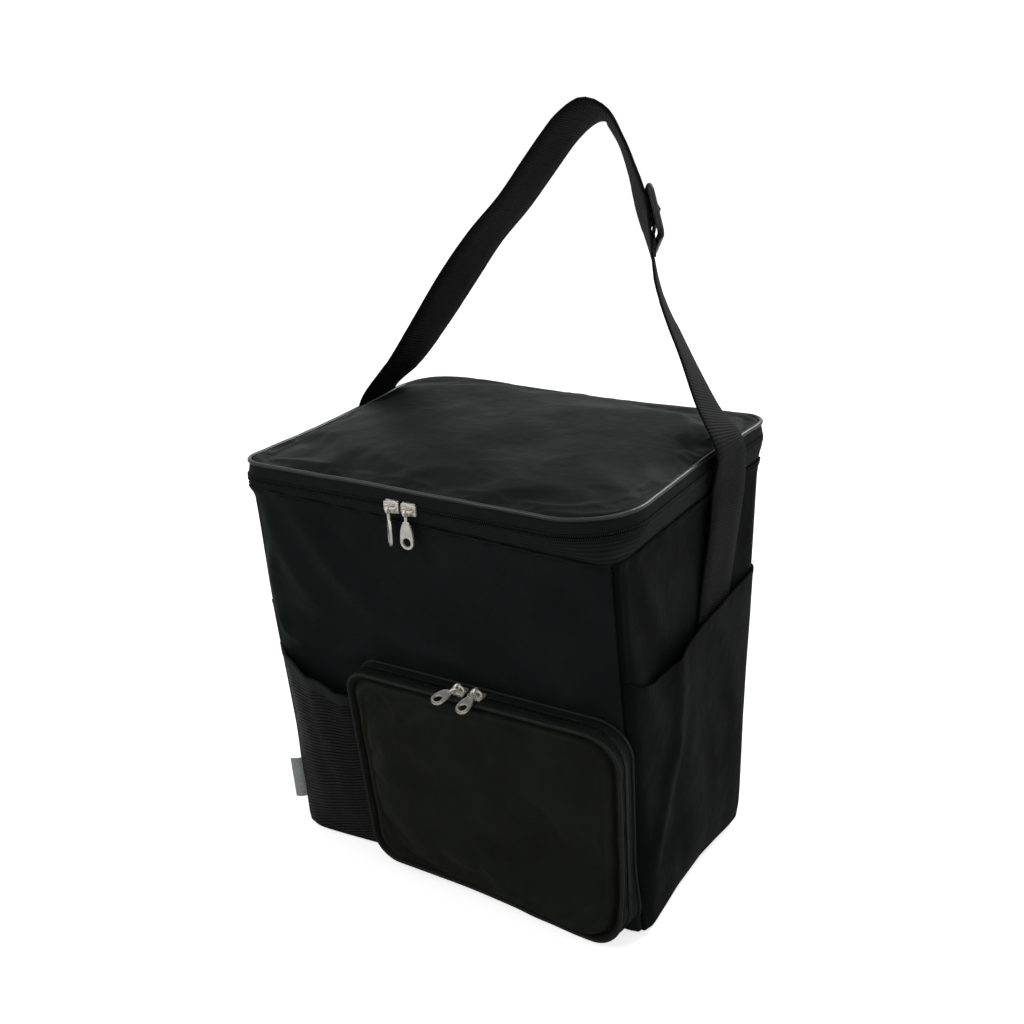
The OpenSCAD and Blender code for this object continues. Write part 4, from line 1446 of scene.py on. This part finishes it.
def slipPlace(sign, u, v, lift=0.0, tall=(0.0, 1.0)):
    # the right side, or its mirror on the left
    t = mix(0.006, 0.994, u)
    k = 1 + t
    y0 = shell(k, 0.2).y
    high = fromTable(slipPocket["hem"], y0)
    z = mix(slipPocket["low"], high, mix(tall[0], tall[1], v))
    share = z / high
    belly = (math.sin(math.pi * u) ** 0.6) * ease(share / 0.2 + 0.05)
    wave = 0.0010 * math.sin(u * 14 + share * 4) * math.sin(math.pi * u) * share
    rumple = 0.0012 * noise.noise(Vector((y0 * 22, z * 22, 15 + sign))) * math.sin(math.pi * u)
    lifted = 0.0003 + slipPocket["gap"] * (0.3 + 0.7 * share) * belly + wave * 0.3 + rumple * 0.5 + lift
    lifted += ridgeRise(y0, z) * min(1, 8 * u, 8 - 8 * u)
    if sign > 0:
        return shell(k, z, lifted)
    return shell(4 - t, z, lifted)


for sign, name, node in ((1, "rightSlipPocket", "right_slip_pocket"),
                         (-1, "leftSlipPocket", "left_slip_pocket")):
    slip = cloth(name, 90, 110, lambda u, v: slipPlace(sign, u, v), (0.195, 0.205))
    layer(slip, 90, Vector((sign, 0, 0)), 0.0010)
    # the slip pockets and their hems take the sides' darker fabric, painted shade too
    finished(slip, "side", "carrier", "outer_fabric", stands=(node,))
    slipHem = cloth(name + "Hem", 90, 10, lambda u, v: slipPlace(sign, u, v, 0.0003, (0.986, 1.002)),
                    (0.195, 0.010))
    layer(slipHem, 90, Vector((sign, 0, 0)), 0.0012)
    finished(slipHem, "side", "carrier", "elastic")
    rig.sheet(slip, flat=slipPocket["flat"], held="gathered",
             rests_on=(node.replace("slip_pocket", "side_panel"),), with_pieces=[slipHem])
print("mesh and slip pockets made")

# shoulder strap: one webbing from the left wall over the top to the right wall

strapRows = (
    # the middle line in millimetres, with the way its width points: near edge to far edge
    ((-147.5, 48.0, 328.0), (-0.11, 0.98, -0.18)),
    ((-123.5, 56.0, 357.0), (-0.05, 0.96, -0.27)),
    ((-104.0, 67.7, 389.0), (0.00, 0.94, -0.34)),
    ((-85.0, 79.7, 422.0), (0.03, 0.93, -0.36)),
    ((-66.0, 90.6, 452.0), (0.00, 0.94, -0.34)),
    ((-45.0, 100.0, 478.0), (-0.01, 0.94, -0.33)),
    ((-28.0, 109.5, 504.0), (0.00, 0.94, -0.34)),
    ((-13.0, 116.8, 526.0), (0.02, 0.95, -0.31)),
    ((2.5, 117.6, 540.2), (-0.06, 0.92, -0.39)),
    ((15.8, 118.1, 545.3), (-0.22, 0.86, -0.46)),
    ((25.5, 118.6, 541.0), (-0.34, 0.84, -0.42)),
    ((36.5, 118.7, 524.2), (-0.43, 0.84, -0.33)),
    ((46.5, 115.8, 504.0), (-0.46, 0.81, -0.37)),
    ((56.8, 110.6, 480.1), (-0.50, 0.76, -0.41)),
    ((68.6, 102.2, 452.7), (-0.40, 0.82, -0.41)),
    ((81.6, 89.0, 425.0), (-0.29, 0.86, -0.42)),
    ((98.0, 76.8, 403.0), (-0.18, 0.88, -0.44)),
    ((116.0, 64.7, 381.0), (-0.13, 0.90, -0.42)),
    ((135.0, 54.9, 354.0), (-0.04, 0.94, -0.34)),
    ((155.0, 48.0, 330.0), (0.03, 0.97, -0.25)),
)
# the legs on the side walls: height and depth of the middle line, in millimetres
legRows = ((300, 49.2), (270, 45), (245, 40.5), (225, 36), (190, 28), (160, 22), (130, 16.5))
webbing = {
    "wide": 0.050,
    "thick": 0.0020,
    "step": 0.0035,
    "legLean": 9,  # degrees that the legs' width leans
    "legOff": (0.0013, 0.0046),  # how far the legs stand off the wall, low down and under the lid
    "bend": ((0, 0.050, 0.322), (0, 0.050, 0.400)),  # from the sewn legs to the loop that swings
}


def wallAt(side, y, z):
    # the wall's x at a height and depth, on the right (1) or the left (-1)
    def kAt(share):
        return 1 + share if side > 0 else 4 - share

    return shell(kAt(halfway(lambda share: shell(kAt(share), z).y < y)), z).x


def strapLeg(side):
    # a sewn leg from the lid down, with the way its width points
    knots = []
    lean = math.radians(webbing["legLean"])
    for z, y in legRows:
        y, z = y / 1000, z / 1000
        near, far = wallAt(side, y - 0.022, z), wallAt(side, y + 0.024, z)
        off = mix(*webbing["legOff"], ease((z - 0.205) / 0.09))
        knots.append((Vector(((near + far) / 2 + side * off, y, z)),
                      Vector(((far - near) / 0.046, math.cos(lean), -math.sin(lean)))))
    return knots


def strapLine():
    # the middle line from the left leg's foot to the right one's, with the way the width points
    top = [(Vector(place) / 1000, Vector(width)) for place, width in strapRows]
    knots = strapLeg(-1)[::-1] + top + strapLeg(1)
    points = [point for point, width in knots]
    widths = [(width - way * width.dot(way)).normalized()
              for (point, width), way in zip(knots, directions(points, False))]
    return curveThrough(points, 10), curveThrough(widths, 10)


strapPath, strapWidths = strapLine()
strapOuts = []
for point, width, way in zip(strapPath, strapWidths, directions(strapPath, False)):
    out = way.cross(width).normalized()
    isInward = out.dot(Vector((point.x, 0, max(point.z - 0.36, 0)))) < 0
    strapOuts.append(-out if isInward else out)


def evened(path, outs, step):
    # the same line with points at even steps
    spots = evenly(path, step)
    points = [point for point, along, i in spots]
    between = [outs[i].lerp(outs[min(i + 1, len(outs) - 1)], 0.5).normalized() for point, along, i in spots]
    return [path[0]] + points + [path[-1]], [outs[0]] + between + [outs[-1]]


strapPath, strapOuts = evened(strapPath, strapOuts, webbing["step"])
strap = tube("strap", strapPath, strapOuts, bandSection(webbing["thick"], webbing["wide"]))
finished(strap, "webbing", ("carrier", "strap"), "webbing",
         stands=("strap_webbing", "left_strap_end", "right_strap_end"), span=webbing["bend"])
print("strap made, length", round(sum((b - a).length for a, b in zip(strapPath, strapPath[1:])), 4))

# tri-glide buckle on the strap, with the webbing's free end over its bar

buckle = {
    "halfWide": 0.0285,
    "halfLong": 0.0178,
    "corner": 0.005,
    "bar": 0.0024,
    "barHalf": 0.0275,
    "frame": 0.0029,
    "out": 0.0048,
    "tailOff": 0.0022,
    "tailHump": 0.0062,
    "tailThick": 0.0019,
    "tailWide": 0.048,
    "tailReach": (5, 7),  # steps of the strap's line that the tail covers, before and after the bar
}
seenBuckle = onSeen(imagePoints["strapBuckle"], strap)
buckleSpot = min(range(len(strapPath)),
                 key=lambda i: abs(strapPath[i].z - seenBuckle.z) + (strapPath[i].x < 0))
buckleSpot += 2  # the frame leans, so the middle of what shows lies above its own middle
bucklePoint = strapPath[buckleSpot]
buckleWay = (strapPath[buckleSpot - 4] - strapPath[buckleSpot + 4]).normalized()
buckleOut = strapOuts[buckleSpot]
buckleSide = buckleWay.cross(buckleOut).normalized()
print("buckle at", [round(v, 4) for v in bucklePoint])


def atBuckle(out, side, along):
    return bucklePoint + buckleOut * out + buckleSide * side + buckleWay * along


def rodAlong(name, path, radius, flat, closed=False):
    return tube(name, path, [buckleOut] * len(path), roundSection(radius, 12, flat), closed=closed)


cornerPath = []
for n, (side, end) in enumerate(((-1, -1), (1, -1), (1, 1), (-1, 1))):
    r = buckle["corner"]
    for i in range(7):
        angle = math.pi / 2 * (i / 6 + n + 2)
        cornerPath.append(atBuckle(buckle["out"], side * (buckle["halfWide"] - r) + r * math.cos(angle),
                                   end * (buckle["halfLong"] - r) + r * math.sin(angle)))
framePath = []
for a, b in zip(cornerPath, cornerPath[1:] + cornerPath[:1]):
    steps = max(int((b - a).length / 0.002), 1)
    framePath += [a.lerp(b, i / steps) for i in range(steps)]
barPath = [atBuckle(buckle["out"], mix(-buckle["barHalf"], buckle["barHalf"], i / 14), 0) for i in range(15)]
triGlide = join("strapBuckle", [rodAlong("buckleFrame", framePath, buckle["frame"], 0.85, closed=True),
                                rodAlong("buckleBar", barPath, buckle["bar"], 0.8)])
finished(triGlide, "buckle", "buckle", "buckle_plastic", stands=("strap_buckle",))

tailSpots = range(buckleSpot - buckle["tailReach"][0], buckleSpot + buckle["tailReach"][1])
tailPath = [strapPath[i] + strapOuts[i] * (
    buckle["tailOff"] + buckle["tailHump"] * math.exp(-((i - buckleSpot) / 2.2) ** 2)) for i in tailSpots]
tailSection = bandSection(buckle["tailThick"], buckle["tailWide"])
tail = tube("strapTail", tailPath, [strapOuts[i] for i in tailSpots], tailSection)
finished(tail, "webbing", "buckle", "webbing", stands=("strap_tail",))
print("buckle made")

# zip sliders and their pulls

slider = {
    "long": 0.012,
    "wide": 0.0096,
    "plates": ((0.0012, 0.0026), (-0.0034, -0.0021)),  # how far out the front and the rear plate lie
    "taper": 0.72,
    "flange": (0.0011, 0.0015),
    "post": (0.0026, 0.0009, 0.0052),
    "bridge": 0.0043,
    "bridgeRod": 0.0009,
}


def placed(piece, matrix):
    piece.data.transform(matrix)
    piece.data.update()
    return piece


def block(size, middle, *steps):
    # a cube, sized and moved in edit mode
    deselect()
    bpy.ops.mesh.primitive_cube_add(size=1, location=(0, 0, 0))
    piece = bpy.context.object
    editAll(piece, lambda: bpy.ops.transform.resize(value=size),
            lambda: bpy.ops.transform.translate(value=middle), *steps)
    return piece


def sliderPlate(low, high):
    plate = block((slider["long"], slider["wide"], high - low), (0, 0, (low + high) / 2),
                  lambda: bpy.ops.mesh.subdivide(number_cuts=3))
    for vert in plate.data.vertices:
        far = vert.co.x / slider["long"] + 0.5
        vert.co.y *= mix(slider["taper"], 1.0, ease(far * 1.6)) * (1 - 0.22 * max(far - 0.8, 0) / 0.2)
        if vert.co.z > (low + high) / 2 and high > 0:
            vert.co.z += 0.0004 * (1 - (2 * abs(vert.co.y) / slider["wide"]) ** 2)
    applyModifier(plate, "BEVEL", width=0.00035, segments=2, limit_method="ANGLE",
                  angle_limit=math.radians(45))
    return plate


def sliderFlange(side):
    size = (slider["long"] * 0.86, *slider["flange"])
    return block(size, (0.0002, side * (slider["wide"] / 2 - 0.0007), 0.0009),
                 lambda: bpy.ops.mesh.bevel(offset=0.0003, segments=2, affect="EDGES"))


def makeSlider(name, matrix, body, node):
    # X along the zip towards its nose, Y across it, Z out
    arch = [math.pi * i / 16 for i in range(17)]
    arch = [Vector((-math.cos(angle), 0, math.sin(angle) ** 0.7)) * slider["bridge"] + Vector((0, 0, 0.0020))
            for angle in arch]
    parts = [sliderPlate(low, high) for low, high in slider["plates"]]
    parts += [sliderFlange(side) for side in (-1, 1)]
    parts.append(block(slider["post"], (slider["bridge"], 0, -0.0004)))
    bridgeRod = roundSection(slider["bridgeRod"], 10, 1.25)
    parts.append(tube(name + "Bridge", arch, [Vector((0, 1, 0))] * 17, bridgeRod))
    piece = join(name, parts)
    placed(piece, matrix)
    smoothShade(piece, 35)
    return finished(piece, "nickel", body, "zip_metal", stands=(node,))


pull = {
    "eye": 0.0022,
    "eyeRod": 0.0008,
    "neckRod": 0.0011,
    "half": 0.0050,
    "narrow": 0.0042,
    "hole": 0.0031,
    "thick": 0.0017,
    # a section through the plate, from the hole's rim to its edge and back: share outwards, level
    "section": ((0.0, -0.5), (0.04, -1.0), (0.30, -1.0), (0.62, -0.84), (0.96, -1.0), (1.0, -0.5),
                (1.0, 0.5), (0.96, 1.0), (0.62, 0.84), (0.30, 1.0), (0.04, 1.0), (0.0, 0.5)),
}


def makePull(name, long, turn, matrix, body, node):
    # hangs along -Z from its pin, which lies on X; the plate is turned round its own neck
    eyePath = []
    for i in range(24):
        angle = 2 * math.pi * i / 24
        eyePath.append(Vector((0, pull["eye"] * math.cos(angle), pull["eye"] * math.sin(angle) - 0.0008)))
    eyeRod = roundSection(pull["eyeRod"], 10, 1.3)
    eye = tube(name + "Eye", eyePath, [Vector((1, 0, 0))] * 24, eyeRod, closed=True)
    neckPath = [Vector((0, 0, -0.0028 - 0.0008 * i)) for i in range(7)]
    neck = tube(name + "Neck", neckPath, [Vector((0, 1, 0))] * 7, roundSection(pull["neckRod"], 10))
    half, hole, low = pull["half"], pull["hole"], pull["half"] - long
    outer, inner = [], []
    for i in range(48):
        angle = 2 * math.pi * i / 48
        c, s = math.cos(angle), math.sin(angle)
        if s < 0:
            x, z = half * c, low + half * s
        else:
            rise = (long - 0.0070 - half) * s
            narrow = mix(half, pull["narrow"], ease(s) ** 3)
            x, z = narrow * (abs(c) ** 0.55) * (1 if c > 0 else -1), low + rise
        outer.append((x, z))
        inner.append((hole * c, low + hole * s))

    def platePlace(u, v):
        i = int(round(u * 48)) % 48
        share, level = pull["section"][int(round(v * 12)) % 12]
        x, z = (mix(inner[i][n], outer[i][n], share) for n in (0, 1))
        return Vector((x, level * pull["thick"] / 2, z))

    plate = cloth(name + "Plate", 48, 12, platePlace, (0.03, 0.01), loop=True)
    faceOut(plate)
    placed(plate, Matrix.Rotation(math.radians(turn), 4, "Z"))
    piece = join(name, [plate, eye, neck])
    placed(piece, matrix)
    smoothShade(piece, 35)
    return finished(piece, "nickel", body, "zip_metal", stands=(node,))


def seated(place, flip, out):
    # the slider's own axes on its zip: X along it, Y across, Z out
    along = Vector((flip, 0, 0))
    return Matrix.Translation(place) @ axesOf(along, out.cross(along), out)


topZip = {
    "pinDepth": -0.1236,
    "front": -0.1175,
    "pullLong": 0.0272,
    "spots": (("left", -0.0185, 1, -46), ("right", -0.0045, -1, 4)),  # x, the nose's way, the pull's turn
}
for name, x, flip, turn in topZip["spots"]:
    line = bag["zipLine"]
    seat = Vector((x, min(shell(frontK(x, line), line).y, topZip["front"]), line))
    seat = seated(seat, flip, Vector((0, -1, 0)))
    makeSlider(name + "ZipSlider", seat, name + "_zip_slider", name + "_slider")
for name, x, flip, turn in topZip["spots"]:
    hung = Matrix.Translation((x, topZip["pinDepth"], bag["zipLine"]))
    makePull(name + "ZipPull", topZip["pullLong"], turn, hung, name + "_zip_pull", name + "_pull")

# the pocket's pulls lie forward over its piping, sloping down
pocketZip = {"top": 0.181, "deep": 0.0105, "pin": (-0.114478, 0.184899), "pullLong": 0.0222, "slope": 70}
for name, x, flip, turn in (("Left", 0.024, 1, 28), ("Right", 0.0385, -1, 4)):
    node = "pocket_" + name.lower()
    seat = seated(onFront(x, pocketZip["top"], pocketZip["deep"]), flip, frontUp)
    makeSlider("pocket" + name + "ZipSlider", seat, node + "_zip_slider", node + "_slider")
    down = Matrix.Rotation(-math.radians(pocketZip["slope"]), 4, "X")
    hung = Matrix.Translation((x, *pocketZip["pin"])) @ down @ Matrix.Rotation(math.radians(turn), 4, "Y")
    makePull("pocket" + name + "ZipPull", pocketZip["pullLong"], 0, hung, node + "_zip_pull", node + "_pull")
print("sliders and pulls made")

# the bare tag in the left front seam, and the rows of stitches

seenTag = onSeen(imagePoints["sideTag"], bpy.data.objects["leftPanel"], bpy.data.objects["frontPanel"])
tagCloth = {"half": 0.0185, "tuck": 0.0012, "out": 0.0088, "thick": 0.0008}
print("tag height", round(seenTag.z, 4))


def tagPlace(u, v):
    z = seenTag.z + mix(-tagCloth["half"], tagCloth["half"], v)
    curl = 0.0012 * math.sin(math.pi * u) + 0.0006 * math.sin(v * 5)
    out = Vector((-0.8, -0.6, 0)) * mix(-tagCloth["tuck"], tagCloth["out"], u)
    return shell(0.0, z) + out + Vector((0.6, -0.8, 0)) * curl


tag = cloth("sideTag", 12, 24, tagPlace, (0.0145, 0.037))
thicken(tag, tagCloth["thick"])
faceOut(tag)
smoothShade(tag)
finished(tag, "tag", "carrier", "tag", stands=("side_tag",))

stitch = makeTooth("stitch", (0.0022, 0.00045, 0.00045))
stitchKs = [mix(-1.1, 2.06, i / 400) for i in range(401)]
stitchPath = [shell(k, wallTop(k) - 0.0022, 0.0008) for k in stitchKs]
stitchOuts = [outAt(k, 0.290) for k in stitchKs]
stitchPlaces = [standOn(point + stitchOuts[i] * 0.00005, along, stitchOuts[i])
                for point, along, i in evenly(stitchPath, 0.0031)]
finished(copies("wallStitches", stitch, stitchPlaces), "thread", "carrier", "outer_fabric")
for spare in (tooth, stitch):
    bpy.data.objects.remove(spare)
print("tag and stitches made")

# the plain soft insides keep their CAD shapes, painted

for node in ("front_foam", "back_foam", "left_foam", "right_foam", "base_foam", "base_board"):
    for place in frame["nodes"][node].material_slots:
        place.material = paints["board" if node == "base_board" else "foam"]

# stage and light

deselect()
bpy.ops.mesh.primitive_plane_add(size=60, location=(0, 0, -0.0005))
floor = bpy.context.object
floor.name = "floor"
floorPaint = Paint("floorPaint", (0.9, 0.9, 0.9), 1.0, specular=0.0)
floorPaint.put("Emission Color", floorPaint.node("ShaderNodeLightPath", out=0) * 0.74)
floorPaint.put("Emission Strength", 1.0)
floor.data.materials.append(floorPaint.material)
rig.stage(floor)

world = bpy.data.worlds.new("room")
bpy.context.scene.world = world
world.use_nodes = True
tree = world.node_tree
lightPath = tree.nodes.new("ShaderNodeLightPath")
seenWhite = tree.nodes.new("ShaderNodeMath")
seenWhite.operation = "MAXIMUM"
tree.links.new(lightPath.outputs["Is Camera Ray"], seenWhite.inputs[0])
tree.links.new(lightPath.outputs["Is Glossy Ray"], seenWhite.inputs[1])
either = tree.nodes.new("ShaderNodeMixShader")
tree.links.new(seenWhite.outputs[0], either.inputs[0])
for socket, strength in ((either.inputs[1], 0.36), (either.inputs[2], 1.0)):  # what lights, then what shows
    sky = tree.nodes.new("ShaderNodeBackground")
    sky.inputs["Color"].default_value = (1, 1, 1, 1)
    sky.inputs["Strength"].default_value = strength
    tree.links.new(sky.outputs[0], socket)
tree.links.new(either.outputs[0], tree.nodes["World Output"].inputs["Surface"])


def addLamp(name, place, target, power, size):
    lamp = bpy.data.lights.new(name, "AREA")
    lamp.energy = power
    lamp.shape = "DISK"
    lamp.size = size
    made = bpy.data.objects.new(name, lamp)
    way = (Vector(target) - Vector(place)).normalized()
    made.matrix_world = Matrix.Translation(place) @ way.to_track_quat("-Z", "Y").to_matrix().to_4x4()
    bpy.context.scene.collection.objects.link(made)
    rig.stage(made)


addLamp("keyLamp", (-0.9, -1.6, 1.7), (0, 0, 0.18), 8, 0.9)
addLamp("backLamp", (0.5, 1.6, 1.6), (0, 0, 0.25), 22, 1.0)
addLamp("sideLamp", (2.0, -0.2, 1.1), (0, 0, 0.2), 1.0, 0.9)
bpy.context.scene.view_settings.view_transform = "Standard"


def shownMiddle(name, trees):
    # the middle of what shows of a piece, in the photograph's frame
    piece = bpy.data.objects[name]
    eye = camera.matrix_world.translation
    shown = []
    for vert in list(piece.data.vertices)[::max(len(piece.data.vertices) // 500, 1)]:
        way = vert.co - eye
        reach = way.length - 0.0008
        if all(tree.ray_cast(eye, way.normalized(), reach)[0] is None for tree in trees):
            shown.append(vert.co)
    places = showsAt(shown or [v.co for v in piece.data.vertices])
    return (places.min(axis=0) + places.max(axis=0)) / 2


def measurePoints():
    # how far each thing shows from its image point, x then y
    bpy.context.view_layer.update()
    loose = ("strap", "strapBuckle", "strapTail", "sideTag", "floor")
    cadNames = {made.name for made in frame["nodes"].values()}
    own = [piece for piece in bpy.data.objects if piece.type == "MESH" and piece.name not in cadNames]
    trees = [treeOf(piece) for piece in own if piece.name != "floor" and len(piece.data.polygons) < 60000]
    places = []
    for piece in own:
        if piece.name not in loose:
            spots = np.zeros(len(piece.data.vertices) * 3, dtype=np.float32)
            piece.data.vertices.foreach_get("co", spots)
            places.append(showsAt(spots.reshape(-1, 3)))
    low = np.min([p.min(axis=0) for p in places], axis=0)
    high = np.max([p.max(axis=0) for p in places], axis=0)
    away = {"left": [low[0] - imagePoints["left"], 0], "right": [high[0] - imagePoints["right"], 0],
            "top": [0, low[1] - imagePoints["top"]], "bottom": [0, high[1] - imagePoints["bottom"]]}
    strapShown = showsAt([v.co for v in bpy.data.objects["strap"].data.vertices])
    found = {"strapTop": strapShown[strapShown[:, 1].argmin()],
             "frontRightSeamTop": showsAt([shell(1.0, wallTop(1.0))])[0]}
    for name, spot in imagePoints.items():
        if name in away:
            continue
        seen = found[name] if name in found else shownMiddle(name, trees)
        away[name] = [seen[0] - spot[0], seen[1] - spot[1]]
    return {name: [round(float(v), 1) for v in both] for name, both in away.items()}


try:
    away = measurePoints()
    with open("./points.json", "w") as out:
        json.dump(away, out, indent=1)
    print("points", away)
except Exception as trouble:
    print("points not measured:", trouble)

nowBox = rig.bounds()
with open("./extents.json", "w") as out:
    json.dump({"cad": [list(cadBox[0]), list(cadBox[1])], "now": [list(nowBox[0]), list(nowBox[1])]}, out,
              indent=1)
print("cad box", [round(v, 4) for v in (*cadBox[0], *cadBox[1])])
print("new box", [round(v, 4) for v in (*nowBox[0], *nowBox[1])])
